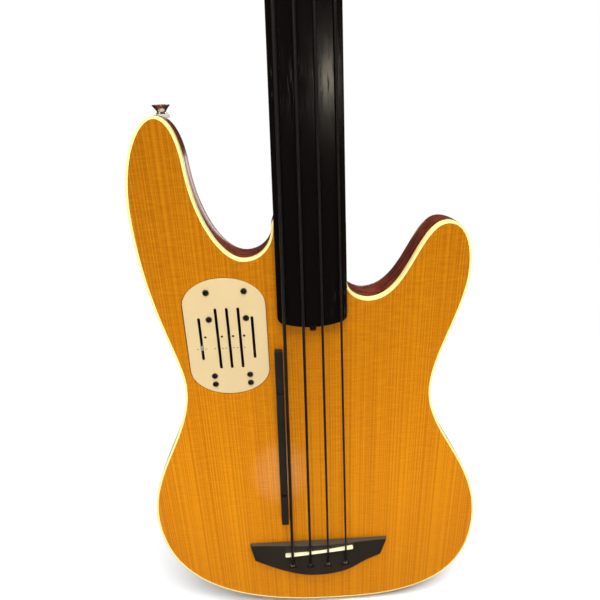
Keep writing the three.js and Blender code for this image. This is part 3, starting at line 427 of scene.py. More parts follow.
def spruce():
    """Bookmatched straight-grained spruce under amber gloss, with painted shade that darkens it towards the
    horns and the tail.
    """
    look = Look("amber_spruce", {"Coat Weight": 0.25, "Coat Roughness": 0.04, "Specular IOR Level": 0.05})
    look.mirror_halves()
    lines = look.steps(look.noise((860, 2, 1.6), 1, 0.1), 0.42, 0.58)
    bands = look.steps(look.noise((30, 2, 0.8), 3), 0.3, 0.7)
    zones = look.noise((7, 2, 2.0), 2, 0.3, (3, 1, 7))
    silk = look.steps(look.noise((75, 2, 650), 2, 0.5), 0.44, 0.66)
    shadow = look.steps(look.noise((60, 2, 520), 2, 0.4, (1, 5, 2)), 0.50, 0.68)
    rise = look.share(2, -0.80, -0.44)
    tail_shade_share = look.share(2, -0.74, -0.90)
    contrast = look.math("ADD", look.math("MULTIPLY", rise, 0.34), 0.38)
    flecks = look.math("ADD", look.math("MULTIPLY", rise, 0.14), 0.11)
    deep = (0.30, 0.100, 0.001)
    colour = look.mix((0.71, 0.246, 0.001), (0.57, 0.165, 0.001), bands)
    colour = look.over(colour, (0.82, 0.32, 0.002), zones, 0.5)
    colour = look.over(colour, (0.28, 0.055, 0.001), lines, contrast)
    colour = look.over(colour, (0.95, 0.45, 0.006), silk, flecks)
    colour = look.over(colour, (0.32, 0.070, 0.001), shadow, flecks)
    # Painted shade: the colour darkens towards the horns and, less strongly, towards the tail.
    colour = look.over(colour, deep, rise, 0.60)
    colour = look.over(colour, deep, tail_shade_share, 0.24)
    look.feed("Base Color", colour)
    look.vary("Roughness", 0.28, 0.5, lines)
    look.bump(lines, 0.15, 0.0001)
    return look.material


def stained_mahogany():
    """Dark red-brown stained wood with fine open pores under gloss."""
    look = Look("red_mahogany", {"Coat Weight": 0.5, "Coat Roughness": 0.04, "Specular IOR Level": 0.1})
    streaks = look.steps(look.noise((150, 190, 6), 4, 0.6), 0.36, 0.66)
    pores = look.steps(look.noise((1100, 1100, 45), 2), 0.56, 0.68)
    colour = look.mix((0.045, 0.007, 0.004), (0.17, 0.026, 0.011), streaks)
    colour = look.over(colour, (0.26, 0.055, 0.022), look.noise((7, 7, 4), 2, 0.4), 0.35)
    colour = look.over(colour, (0.02, 0.005, 0.004), pores, 0.6)
    look.feed("Base Color", colour)
    look.vary("Roughness", 0.25, 0.42, streaks)
    look.bump(pores, 0.1, 0.00015)
    return look.material


def dark_wood(name, light, dark, roughness, streak=150, painted_light_from=None):
    """Oiled close-grained wood; where a height is given, it is painted lighter above it, painted light on
    an edge that faces up to the lamps.
    """
    look = Look(name, {"Specular IOR Level": 0.35})
    streaks = look.noise((streak, 160, 5), 4, 0.3)
    pores = look.steps(look.noise((1300, 900, 60), 2), 0.58, 0.7)
    colour = look.mix(dark, light, streaks)
    if painted_light_from:
        # Painted light: the colour turns lighter above the given height.
        painted_light = look.share(2, painted_light_from, painted_light_from + 0.0006)
        colour = look.mix(colour, (0.075, 0.062, 0.05), painted_light)
    look.feed("Base Color", look.over(colour, (0.004, 0.003, 0.003), pores, 0.5))
    look.vary("Roughness", roughness - 0.06, roughness + 0.1, streaks)
    look.bump(pores, 0.25, 0.0001)
    return look.material


def plastic(name, light, dark, roughness, grain=900, relief=0.12, sockets=()):
    """Moulded plastic, bone or rubber: faint clouds in the colour and a fine skin."""
    look = Look(name, dict(sockets))
    skin = look.noise((grain, grain, grain), 3)
    look.vary("Base Color", dark, light, look.noise((35, 35, 25), 4))
    look.vary("Roughness", roughness - 0.05, roughness + 0.08, skin)
    look.bump(skin, relief, 0.0001)
    return look.material


def metal(name, light, dark, roughness):
    """Plated or worked metal with fine scratches and a little tarnish."""
    look = Look(name, {"Metallic": 1.0})
    scratches = look.noise((400, 400, 400), 5, 0.6)
    look.vary("Base Color", dark, light, look.noise((60, 60, 60), 4))
    look.vary("Roughness", roughness, roughness + 0.16, scratches)
    look.bump(scratches, 0.05, 0.0001)
    return look.material


def tape_winding():
    """Black nylon tape, wound close round the string."""
    look = Look("nylon_tape", {"Specular IOR Level": 0.5})
    inputs = {"Vector": look.place, "Scale": 260, "Distortion": 0.4}
    wave = look.add("TexWave", inputs, bands_direction="Z").outputs["Fac"]
    look.vary("Base Color", (0.004, 0.004, 0.004), (0.014, 0.013, 0.012), wave)
    look.vary("Roughness", 0.24, 0.36, look.noise((300, 300, 40), 3))
    look.bump(wave, 0.5, 0.0002)
    return look.material


def felt():
    """Cream felt, a mat of fine fibres."""
    look = Look("felt", {"Sheen Weight": 0.4, "Roughness": 0.95})
    fibres = look.noise((2600, 2600, 900), 5, 1.5)
    look.vary("Base Color", (0.55, 0.49, 0.35), (0.86, 0.82, 0.68), fibres)
    look.bump(fibres, 0.7, 0.0004)
    return look.material


# The looks of the record's material slots. Each pair of colours is the light and the dark one.
LOOKS = {
    "red_wood": stained_mahogany(),
    "amber_top": spruce(),
    "cream_binding": plastic(
        "binding", (1.0, 0.86, 0.36), (0.95, 0.78, 0.27), 0.22, 500, 0.05,
        {"Coat Weight": 0.5, "Coat Roughness": 0.05}),
    "black_wood": dark_wood("ebony", (0.0045, 0.0035, 0.003), (0.002, 0.0015, 0.001), 0.11),
    "dark_wood": dark_wood(
        "bridge_wood", (0.029, 0.021, 0.014), (0.014, 0.0105, 0.0075), 0.42, 40, BRIDGE_PAINTED_LIGHT_FROM),
    "bone": plastic("bone", (0.92, 0.85, 0.56), (0.84, 0.77, 0.46), 0.3, 700, 0.08),
    "steel": metal("steel", (0.60, 0.59, 0.57), (0.38, 0.37, 0.36), 0.28),
    "black_screw": metal("black_oxide", (0.24, 0.23, 0.22), (0.09, 0.088, 0.085), 0.3),
    "nickel": metal("nickel", (0.90, 0.86, 0.79), (0.68, 0.62, 0.53), 0.12),
    "string_tape": tape_winding(),
    "black_plastic": plastic(
        "black_plastic", (0.016, 0.015, 0.014), (0.009, 0.0085, 0.008), 0.4, 1500, 0.3),
    "silver_plastic": plastic(
        "silver_paint", (0.75, 0.75, 0.75), (0.55, 0.55, 0.55), 0.3, 1500, 0.1, {"Metallic": 0.6}),
    "cream_plate": plastic("cream_plate", (0.70, 0.535, 0.28), (0.63, 0.475, 0.24), 0.42, 1300, 0.14),
    "circuit_board": plastic(
        "solder_mask", (0.010, 0.014, 0.011), (0.005, 0.006, 0.005), 0.35, 1700, 0.4),
    "battery_case": metal("battery_sleeve", (0.20, 0.21, 0.23), (0.10, 0.10, 0.12), 0.3),
    "felt": felt(),
    "lead_jacket": plastic("lead_jacket", (0.02, 0.02, 0.02), (0.01, 0.01, 0.01), 0.5, 900, 0.2),
}
PRINT = plastic("plate_print", (0.02, 0.018, 0.015), (0.012, 0.01, 0.01), 0.5)
BRASS = metal("brass", (0.95, 0.87, 0.70), (0.75, 0.65, 0.48), 0.45)

# ---- mesh solids
# A solid is a list of points in millimetres and a list of faces.


def loft(rings, capped=True):
    """A skin over rings of the same number of points, each anticlockwise seen from the far end."""
    count = len(rings[0])
    points = [point for ring in rings for point in ring]
    faces = []
    for start in range(0, count * (len(rings) - 1), count):
        for i in range(count):
            j = (i + 1) % count
            faces.append((start + i, start + j, start + j + count, start + i + count))
    if capped:
        faces.append(tuple(reversed(range(count))))
        faces.append(tuple(range(len(points) - count, len(points))))
    return points, faces


def closed_loft(rings):
    """A loft whose last ring joins its first, such as a frame round an opening."""
    points, faces = loft([*rings, rings[0]], capped=False)
    count = len(rings[0])
    whole = count * len(rings)
    return points[:whole], [tuple(i % whole for i in face) for face in faces]


def both(*solids):
    """Several solids as one list of points and faces."""
    points, faces = [], []
    for more_points, more_faces in solids:
        shift = len(points)
        points += list(more_points)
        faces += [tuple(i + shift for i in face) for face in more_faces]
    return points, faces


def moved(solid, matrix):
    return [tuple(matrix @ Vector(point)) for point in solid[0]], solid[1]


def placed(x, y, z=0.0, angle=0.0, axis="Z"):
    """A matrix that turns a solid about the origin and then moves it."""
    return Matrix.Translation((x, y, z)) @ Matrix.Rotation(angle, 4, axis)


def inset(outline, by):
    """The outline drawn in by a distance; it grows where that is negative."""
    ring = []
    count = len(outline)
    for i in range(count):
        before = Vector(outline[i - 1]).to_2d()
        here = Vector(outline[i]).to_2d()
        after = Vector(outline[(i + 1) % count]).to_2d()
        first = (here - before).normalized()
        second = (after - here).normalized()
        normal = Vector((-first.y - second.y, first.x + second.x))
        spread = max(0.4, normal.length_squared / 2)
        point = here + normal * (by / spread)
        ring.append((point.x, point.y))
    return ring


def stepped(outline, levels):
    """A skin over the outline, drawn in at each (inset, height) level."""
    return loft([[(x, y, z) for x, y in inset(outline, by)] for by, z in levels])


def around(sides):
    """The angles of a regular polygon's corners."""
    return [tau * i / sides for i in range(sides)]


def quarter(radius, steps=4):
    """(inset, drop) pairs from the foot of a rounded edge to its top."""
    angles = [pi / 2 * step / steps for step in range(steps + 1)]
    return [(radius * (1 - cos(a)), radius * (1 - sin(a))) for a in angles]


def pad(outline, low, high, top=0.0, bottom=0.0, steps=4):
    """A slab over an outline, with its upper and lower edges rounded."""
    lower = [(by, low + drop) for by, drop in reversed(quarter(bottom, steps))] if bottom else [(0, low)]
    upper = [(by, high - drop) for by, drop in quarter(top, steps)] if top else [(0, high)]
    return stepped(outline, lower + upper)


def flared(outline, low, high, flare):
    """A tool that cuts a hole over an outline and chamfers its rim at height high."""
    return stepped(outline, [(0, low), (0, high - flare), (-flare * 2, high + flare)])


def circle(x, y, radius, sides=24):
    return [(x + radius * cos(a), y + radius * sin(a)) for a in around(sides)]


def rounded(x0, x1, y0, y1, radius, steps=5):
    """A rectangle with rounded corners."""
    corners = [(x1 - radius, y0 + radius, -90), (x1 - radius, y1 - radius, 0),
               (x0 + radius, y1 - radius, 90), (x0 + radius, y0 + radius, 180)]
    outline = []
    for x, y, start in corners:
        for step in range(steps + 1):
            angle = radians(start + 90 * step / steps)
            outline.append((x + radius * cos(angle), y + radius * sin(angle)))
    return outline


def bezier(start, first, second, end, steps=12):
    """Points along a cubic curve, without its last one."""
    points = []
    for step in range(steps):
        t = step / steps
        weights = ((1 - t) ** 3, 3 * t * (1 - t) ** 2, 3 * t * t * (1 - t), t ** 3)
        points.append(tuple(sum(w * p[axis] for w, p in zip(weights, (start, first, second, end)))
                            for axis in (0, 1)))
    return points


def brick(x0, x1, y0, y1, z0, z1, edge=0.0):
    """A block between six faces, with its edges rounded where a radius is given."""
    if edge:
        return pad(rounded(x0, x1, y0, y1, edge * 1.25, 3), z0, z1, edge, edge, 3)
    return loft([[(x0, y0, z), (x1, y0, z), (x1, y1, z), (x0, y1, z)] for z in (z0, z1)])


def centred(x, y, half_x, half_y, z0, z1, edge=0.0):
    """A block over a middle point."""
    return brick(x - half_x, x + half_x, y - half_y, y + half_y, z0, z1, edge)


def standing(rings, start, direction):
    """A skin over rings round the z axis, stood on start along a direction."""
    turn = Vector(UP).rotation_difference(Vector(direction)).to_matrix()
    return loft([[tuple(turn @ Vector(point) + Vector(start)) for point in ring] for ring in rings])


def turned(profile, start, direction=UP, sides=32):
    """A lathe piece from (radius, distance) pairs."""
    rings = [[(x, y, distance) for x, y in circle(0, 0, radius, sides)] for radius, distance in profile]
    return standing(rings, start, direction)


def rod(start, end, radius, sides=24):
    """A round bar between two points."""
    along = Vector(end) - Vector(start)
    return turned([(radius, 0), (radius, along.length)], start, along, sides)


def wells(places, levels):
    """Round tools through (radius, height) levels, one at each place."""
    return [turned(levels, (x, y, 0), UP, 28) for x, y in places]


def thread(start, direction, root, crest, pitch, length, sides=20):
    """A screw thread: the radius rises and falls once a pitch, and the ridge winds round."""
    rings = []
    steps = int(length / pitch * 8)
    for step in range(steps + 1):
        distance = length * step / steps
        ring = []
        for side in range(sides):
            phase = (distance / pitch - side / sides) % 1
            radius = root + (crest - root) * (1 - abs(2 * phase - 1))
            angle = tau * side / sides
            ring.append((radius * cos(angle), radius * sin(angle), distance))
        rings.append(ring)
    return standing(rings, start, direction)


def tube(path, radius, sides=12):
    """A round section carried along a path without twisting."""
    points = [Vector(point) for point in path]
    rings = []
    side = None
    for i, point in enumerate(points):
        along = (points[min(i + 1, len(points) - 1)] - points[max(i - 1, 0)]).normalized()
        if side is None:
            side = along.orthogonal().normalized()
        side = (side - along * side.dot(along)).normalized()
        up = along.cross(side)
        rings.append([tuple(point + (side * cos(a) + up * sin(a)) * radius)
                      for a in around(sides)])
    return loft(rings)


def mesh_from(solid, name="scratch"):
    mesh = bpy.data.meshes.new(name)
    mesh.from_pydata([tuple(point) for point in solid[0]], [], solid[1])
    return mesh


def cut(solid, *tools):
    """The solid with the tools taken away."""
    block = add_object("block", mesh_from(solid))
    tool = add_object("tool", mesh_from(both(*tools)))
    boolean = block.modifiers.new("cut", "BOOLEAN")
    boolean.object = tool
    boolean.operation = "DIFFERENCE"
    boolean.solver = "EXACT"
    boolean.use_self = True
    bpy.context.view_layer.update()
    mesh = block.evaluated_get(bpy.context.evaluated_depsgraph_get()).to_mesh()
    result = [tuple(v.co) for v in mesh.vertices], [tuple(p.vertices) for p in mesh.polygons]
    for thing in (block, tool):
        bpy.data.objects.remove(thing)
    return result


def sliced(solid, places):
    """The solid with its faces split where x is one of the places, so that they can follow an arch."""
    work = bmesh.new()
    work.from_mesh(mesh_from(solid))
    for x in places:
        bmesh.ops.bisect_plane(work, geom=work.verts[:] + work.edges[:] + work.faces[:],
                               plane_co=(x, 0, 0), plane_no=(1, 0, 0), dist=1e-5)
    work.verts.index_update()
    points = [tuple(v.co) for v in work.verts]
    faces = [tuple(v.index for v in f.verts) for f in work.faces]
    work.free()
    return points, faces


def arched(solid, height, from_z):
    """Raises each point above from_z by the height at its x."""
    return [(x, y, z + height(x)) if z > from_z else (x, y, z) for x, y, z in solid[0]], solid[1]


SUBPARTS = {part["node"]: part["material_slot"] for part in frame["record"]["subparts"]}
BODY_OF = {node: body for body, nodes in frame["record"]["behaviour"]["bodies"].items() for node in nodes}


def piece(name, solid, nodes=(), slot=None, body=None, sharp=32, material=None):
    """A finished piece that stands for CAD nodes, riding on their body with their finish."""
    mesh = mesh_from(([world(*point) for point in solid[0]], solid[1]), name)
    work = bmesh.new()
    work.from_mesh(mesh)
    bmesh.ops.remove_doubles(work, verts=work.verts[:], dist=2e-6)
    bmesh.ops.recalc_face_normals(work, faces=work.faces[:])
    work.to_mesh(mesh)
    work.free()
    mesh.shade_smooth()
    mesh.set_sharp_from_angle(angle=radians(sharp))
    made = add_object(name, mesh)
    weighted = made.modifiers.new("even shading", "WEIGHTED_NORMAL")
    weighted.keep_sharp = True
    slot = slot or SUBPARTS[nodes[0]]
    mesh.materials.append(material or LOOKS[slot])
    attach(made, body or BODY_OF[nodes[0]])
    if nodes:
        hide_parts(*nodes)


def whole(node, solid, **options):
    """A finished piece that stands for one CAD node."""
    piece(node + "_piece", solid, (node,), **options)


def string_x(index, y):
    """Where a string is across the instrument, at a place along it."""
    share = (y - SADDLE_Y) / SCALE_LENGTH
    return (index - 1.5) * (SPACING_AT_SADDLE + (SPACING_AT_NUT - SPACING_AT_SADDLE) * share)


def board_half(y):
    """Half the fingerboard's width."""
    share = (y - BOARD_END_Y) / (NUT_Y - BOARD_END_Y)
    return BOARD_END_HALF + (NUT_HALF - BOARD_END_HALF) * share


# From the headstock's own plane, x across, y along, z off its face, to the instrument.
HEAD = Matrix.Translation((0, HEAD_BASE_Y, -GAP)) @ Matrix.Rotation(-HEAD_TILT, 4, "X")

# ---- body


def body_outline(steps=20):
    """(point, inward normal, how far the back is drawn in) all the way round."""
    samples = []
    for knot, following in zip(BODY_KNOTS, BODY_KNOTS[1:] + BODY_KNOTS[:1]):
        x0, y0, heading0, _, leave, round0 = knot
        x1, y1, heading1, arrive, _, round1 = following
        a0, a1 = radians(heading0), radians(heading1)
        start, end = Vector((x0, y0)), Vector((x1, y1))
        first = start + Vector((cos(a0), sin(a0))) * leave
        second = end - Vector((cos(a1), sin(a1))) * arrive
        for step in range(steps):
            t = step / steps
            u = 1 - t
            point = start * u ** 3 + first * 3 * t * u * u + second * 3 * t * t * u + end * t ** 3
            along = (first - start) * u * u + (second - first) * 2 * t * u + (end - second) * t * t
            along.normalize()
            ease = t * t * (3 - 2 * t)
            samples.append((point, Vector((-along.y, along.x)), round0 + (round1 - round0) * ease))
    return samples


OUTLINE = body_outline()


def body_ring(z, by=0.0, rounding=0.0):
    """The outline at a height, drawn in by a distance and by a share of the back's rounding."""
    ring = []
    for point, inward, drawn_in in OUTLINE:
        at = point + inward * (by + rounding * drawn_in)
        ring.append((at.x, at.y, z))
    return ring


def plate_outline(margin=0.0):
    """The preamp plate: round ends run into straight sides."""
    x, y, half_width, half_length, straight = PLATE
    w, h, s = half_width + margin, half_length + margin, straight
    return [
        *bezier((x + w, y + s), (x + w, y + s + 15), (x + 19, y + h), (x, y + h)),
        *bezier((x, y + h), (x - 19, y + h), (x - w, y + s + 15), (x - w, y + s)),
        *bezier((x - w, y - s), (x - w, y - s - 15), (x - 19, y - h), (x, y - h)),
        *bezier((x, y - h), (x + 19, y - h), (x + w, y - s - 15), (x + w, y - s)),
    ]


def battery_wall(margin, z0, z1):
    """The outside of the battery box's tub, or the hole for it."""
    x, y, width, height, _ = BATTERY
    return centred(x, y, width / 2 + 8 + margin, height / 2 + 4 + margin, z0, z1)


def make_body():
    """The hollowed shell, the soundboard let into it, and the binding round the top."""
    neck_pocket = brick(-22.3, 22.3, TENON_END_Y - GAP, HEEL_Y + 20, -NECK_DEPTH_AT_HEEL - GAP, CLEAR)
    truss_slot = brick(TRUSS_X - ACCESS_HALF, TRUSS_X + ACCESS_HALF, ACCESS_END_Y, TENON_END_Y + 4,
                       ACCESS_FLOOR, CLEAR)
    bay = rounded(*PREAMP_BAY)
    round_start = -(BODY_DEPTH - BACK_ROUND)
    angles = [pi / 2 * step / 16 for step in range(16, -1, -1)]
    rings = [body_ring(round_start - BACK_ROUND * sin(a), 0, 1 - cos(a)) for a in angles]
    rings.append(body_ring(-TOP_THICKNESS))
    tools = [
        pad(bay, BACK + BACK_WALL, 3),
        battery_wall(0.05, BACK - 5, -20),
        neck_pocket,
        truss_slot,
        rod(on_jack(-100), on_jack(-46), 10.5, 32),
        rod(on_jack(-100), on_jack(JACK_FACE_Y + 1.5), 13, 40),
    ]
    for (x, y, z), out in STRAP_BUTTONS.values():
        tools.append(rod((x, y + out * 11, z), (x, y - out * SPOT_FACE, z), SPOT_RADIUS, 32))
    whole("body_shell", cut(loft(rings), *tools))

    panel_edge = BINDING_WIDTH + 0.02
    panel = loft([body_ring(-TOP_THICKNESS, panel_edge), body_ring(0, panel_edge)])
    recess = pad(plate_outline(0.6), -PLATE_THICKNESS - GAP, 1)
    whole("soundboard", cut(panel, recess, pad(bay, -10, 1), neck_pocket, truss_slot))

    edge = [body_ring(-drop, by) for by, drop in quarter(0.7, 5)]
    ring = closed_loft([body_ring(-TOP_THICKNESS), *edge, body_ring(0, BINDING_WIDTH),
                        body_ring(-TOP_THICKNESS, BINDING_WIDTH)])
    whole("binding", cut(ring, neck_pocket))


# ---- neck


def neck_section(y, half, depth, points=32):
    """A flat-topped ring square to the neck, with a rounded back."""
    ring = []
    for i in range(points + 1):
        angle = pi * i / points
        across = copysign(abs(cos(angle)) ** NECK_POWER, cos(angle))
        ring.append((half * across, y, -0.05 - depth * sin(angle) ** NECK_POWER))
    return ring


def head_outline():
    """The headstock's plan, from its root beside the nut round its crown."""
    right = [
        *bezier((NUT_HALF - 0.2, -2), (20, 12), (38, 18), (41, 38)),
        *bezier((41, 38), (43.5, 60), (36, 110), (37, 150)),
        *bezier((37, 150), (37.5, 165), (30, HEAD_LENGTH - 9), (14, HEAD_LENGTH - 4), 8),
        *bezier((14, HEAD_LENGTH - 4), (9, HEAD_LENGTH - 2), (4, HEAD_LENGTH), (0, HEAD_LENGTH), 5),
    ]
    left = [(-x, y) for x, y in reversed(right)]
    return [(NUT_HALF - 0.2, -13), *right, (0, HEAD_LENGTH), *left, (-NUT_HALF + 0.2, -13)]


def make_neck():
    """The shaft, its tenon in the body and the tilted headstock."""
    rings = []
    sections = 28
    for section in range(sections + 1):
        share = section / sections
        y = HEEL_Y + GAP + (VOLUTE_Y - HEEL_Y - GAP) * share
        depth = NECK_DEPTH_AT_HEEL + (NECK_DEPTH_AT_NUT - NECK_DEPTH_AT_HEEL) * share
        rings.append(neck_section(y, board_half(y) - 0.1, depth))
    # The volute: the shaft swells a little behind the nut and fades into the headstock's back.
    sections = 14
    for section in range(1, sections + 1):
        share = section / sections
        y = VOLUTE_Y + VOLUTE_LENGTH * share
        drop = max(0, y - HEAD_BASE_Y) * tan(HEAD_TILT)
        swell = VOLUTE_SWELL * sin(pi * min(1, share * 1.05)) ** 2
        half = (board_half(min(y, NUT_Y)) - 0.1) * (1 - max(0, (y - NUT_Y) / 46) ** 2) ** 0.5
        ring = neck_section(y, max(half, 1.5), NECK_DEPTH_AT_NUT + swell)
        rings.append([(x, along, z - drop) for x, along, z in ring])
    shaft = loft([list(reversed(ring)) for ring in rings])
    tenon = brick(-22, 22, TENON_END_Y, HEEL_Y + 8, -NECK_DEPTH_AT_HEEL, -0.1)
    head = moved(pad(head_outline(), -HEAD_THICKNESS, 0, 1.2, 2.5, 5), HEAD)
    above = brick(-60, 60, NUT_Y - 60, HEAD_BASE_Y, -0.02, 30)
    channel = brick(TRUSS_X - 3.4, TRUSS_X + 3.4, TENON_END_Y - 5, NUT_Y - 20, -9.5, CLEAR)
    whole("neck", both(cut(shaft, channel), cut(tenon, channel), cut(head, above)), sharp=38)


def board_crown(x):
    """How far the board's curved playing face falls away from its middle."""
    return sqrt(BOARD_RADIUS ** 2 - x * x) - BOARD_RADIUS


def make_fingerboard():
    """A crowned board with a bowed lower end."""
    half = BOARD_END_HALF
    corner = BOARD_END_Y + 3

    def bow(start, control, end, steps=14):
        first = tuple(s + (c - s) * 2 / 3 for s, c in zip(start, control))
        second = tuple(e + (c - e) * 2 / 3 for e, c in zip(end, control))
        return bezier(start, first, second, end, steps)

    outline = [
        (NUT_HALF, NUT_Y - 0.05),
        (-NUT_HALF, NUT_Y - 0.05),
        *bow((-half, BOARD_END_Y + 11), (-half, corner + 1), (-half + 8, corner)),
        *bow((-half + 8, corner), (0, BOARD_END_Y - 2.9), (half - 8, corner), 24),
        *bow((half - 8, corner), (half, corner + 1), (half, BOARD_END_Y + 11)),
        (half, BOARD_END_Y + 11),
    ]
    board = sliced(pad(outline, 0.02, BOARD_THICKNESS, 0.9, 0, 5), [x * 3 for x in range(-10, 11)])
    whole("fingerboard", arched(board, board_crown, 3))


def make_nut():
    """The string nut: a rounded bar with eased ends and a slot for each string."""
    profile = [(0, 0), (5, 0), (5, 5.6), (4.2, 7.2), (2.6, 8.3), (0.8, 8.6), (0, 8.1)]
    stations = [(-NUT_HALF, 0.35), (-NUT_HALF + 0.5, 0), (NUT_HALF - 0.5, 0), (NUT_HALF, 0.35)]
    bar = loft([[(x, NUT_Y + y, max(0, z - drop)) for y, z in profile] for x, drop in stations])
    tools = []
    for index, (_, diameter, _, _) in enumerate(STRINGS):
        x = string_x(index, NUT_Y)
        half = diameter / 2 + 0.15
        middle = NUT_SLOT_FLOOR + half
        tools.append(rod((x, NUT_Y - 3, middle + 0.15), (x, NUT_Y + 9, middle - 2.6), half, 20))
        tools.append(brick(x - half, x + half, NUT_Y - 2, NUT_Y + 8, middle - 0.4, 14))
    whole("string_nut", cut(bar, *tools))


def make_truss_nut():
    """A barrel nut with cross holes for a pin."""
    start_y = TENON_END_Y - 2 - GAP
    pin_y = start_y - 4.4
    profile = [(1.9, 0), (2.3, 0.2), (2.4, 0.6), (2.4, 5.9), (2.3, 6.3), (1.9, 6.5)]
    barrel = turned(profile, (TRUSS_X, start_y, TRUSS_Z), (0, -1, 0))
    across = rod((TRUSS_X - 4, pin_y, TRUSS_Z), (TRUSS_X + 4, pin_y, TRUSS_Z), 0.9)
    down = rod((TRUSS_X, pin_y, TRUSS_Z - 4), (TRUSS_X, pin_y, TRUSS_Z + 4), 0.9)
    whole("truss_rod_nut", cut(barrel, across, down))


def cross_recess(x, y, top, size, depth):
    """A tool for the cross in a screw's head."""
    arms = []
    for w, t in ((size, size * 0.24), (size * 0.24, size)):
        levels = ((w * 0.45, t * 0.7, top - depth), (w, t, top + 0.4))
        arms.append(loft([[(x - w, y - t, z), (x + w, y - t, z), (x + w, y + t, z), (x - w, y + t, z)]
                          for w, t, z in levels]))
    return arms


def screw(x, y, seat, radius, height, length):
    """A domed screw that points into the soundboard, with a cross in its head."""
    dome = [(radius * cos(a), height * (0.35 + 0.65 * sin(a)))
            for a in map(radians, (0, 20, 40, 58, 74, 84))]
    solid = turned([(0.6, -length), (1.3, -length + 2), (1.3, 0), (radius * 0.97, 0), *dome],
                   (x, y, seat), UP, 28)
    return cut(solid, *cross_recess(x, y, seat + height, radius * 0.56, height * 0.75))


def make_neck_plate():
    """The plate on the back and its four countersunk bolts."""
    outline = rounded(-21, 21, 279, 336, 5, 8)
    plate = pad(outline, BACK - 2 - GAP, BACK - 0.02, 0, 0.5)
    holes = wells(NECK_BOLTS, [(4.9, BACK - 2.6), (4.9, BACK - 2.2), (2.9, BACK - 1.2), (2.9, BACK + 1)])
    whole("neck_plate", cut(plate, *holes))
    seat = BACK - 2 * GAP - 4.4
    profile = [(1.6, 0), (3.0, 0.25), (4.0, 0.8), (4.4, 1.5), (4.4, 2.4), (2.4, 2.6), (2.4, 40), (0.5, 41)]
    for number, (x, y) in enumerate(NECK_BOLTS, 1):
        cross = [moved(arm, placed(x, y, seat, pi, "X")) for arm in cross_recess(0, 0, 0, 2.5, 1.6)]
        whole(f"neck_bolt_{number}", cut(turned(profile, (x, y, seat)), *cross))


# ---- bridge and strings


def bridge_height(x):
    """The arched bridge's thickness: thin wings and a thicker middle."""
    share = min(1, abs(x) / 76)
    return BRIDGE_WING + BRIDGE_CROWN * (1 - share * share * (3 - 2 * share))


def on_saddle(outline, low, high, **rounding):
    """A slab laid along the slanted saddle."""
    return moved(pad(outline, low, high, **rounding), placed(0, SADDLE_Y, 0, atan(SADDLE_SLANT)))


def saddle_outline(margin):
    """The saddle's plan, on its own middle line."""
    low, high = SADDLE_SPAN
    half = SADDLE_THICKNESS / 2 + margin
    return rounded(low - margin, high + margin, -half, half, half - 0.02, 6)


def make_bridge():
    """The glued bridge with a keyhole for each string, and its slanted saddle."""
    outline = [
        (73.4, 4.8), (-73.4, 4.8),
        *bezier((-69.8, -18), (-52, -29), (-28, -40.5), (-4, -40.5), 16),
        *bezier((-4, -40.5), (17, -40.5), (31, -38.5), (43, -30), 12),
        *bezier((43, -30), (51, -24.5), (59, -21.5), (67.3, -18), 8),
        (67.3, -18),
    ]
    block = sliced(pad(outline, 0.02, BRIDGE_WING, 0.7, 0, 4), [x * 4.1 for x in range(-17, 18)])
    block = arched(block, lambda x: bridge_height(x) - BRIDGE_WING, 2)
    tools = [on_saddle(saddle_outline(0.08), 3, 12)]
    for index, (_, diameter, _, _) in enumerate(STRINGS):
        x = string_x(index, ANCHOR_Y)
        half = diameter / 2 + 0.2
        top = bridge_height(x)
        hole = circle(x, BALL_Y, KEYHOLE_RADIUS, 28)
        tools.append(stepped(hole, [(0, 0.5), (0, top - 1.3), (-1.1, top + 1.1)]))
        slot = rounded(x - half, x + half, ANCHOR_Y - 1, ANCHOR_Y + 11, half * 0.95, 5)
        tools.append(flared(slot, 1.8, top, 0.15))
    whole("bridge", cut(block, *tools), sharp=28)
    saddle = sliced(on_saddle(saddle_outline(0), 3.2, SADDLE_TOP, top=1.25, steps=6),
                    [x * 4 for x in range(-9, 10)])
    whole("saddle", arched(saddle, lambda x: -0.25 * (x / 36) ** 4, 8))


def eased(corners, reach, steps=5):
    """A path through the corners with each inner one rounded off within its reach."""
    path = [Vector(corners[0])]
    for before, corner, after in zip(corners, corners[1:], corners[2:]):
        corner = Vector(corner)
        back = (Vector(before) - corner).normalized() * reach
        on = (Vector(after) - corner).normalized() * reach
        for step in range(steps + 1):
            t = step / steps
            path.append(corner + back * (1 - t) ** 2 + on * t * t)
    path.append(Vector(corners[-1]))
    return path


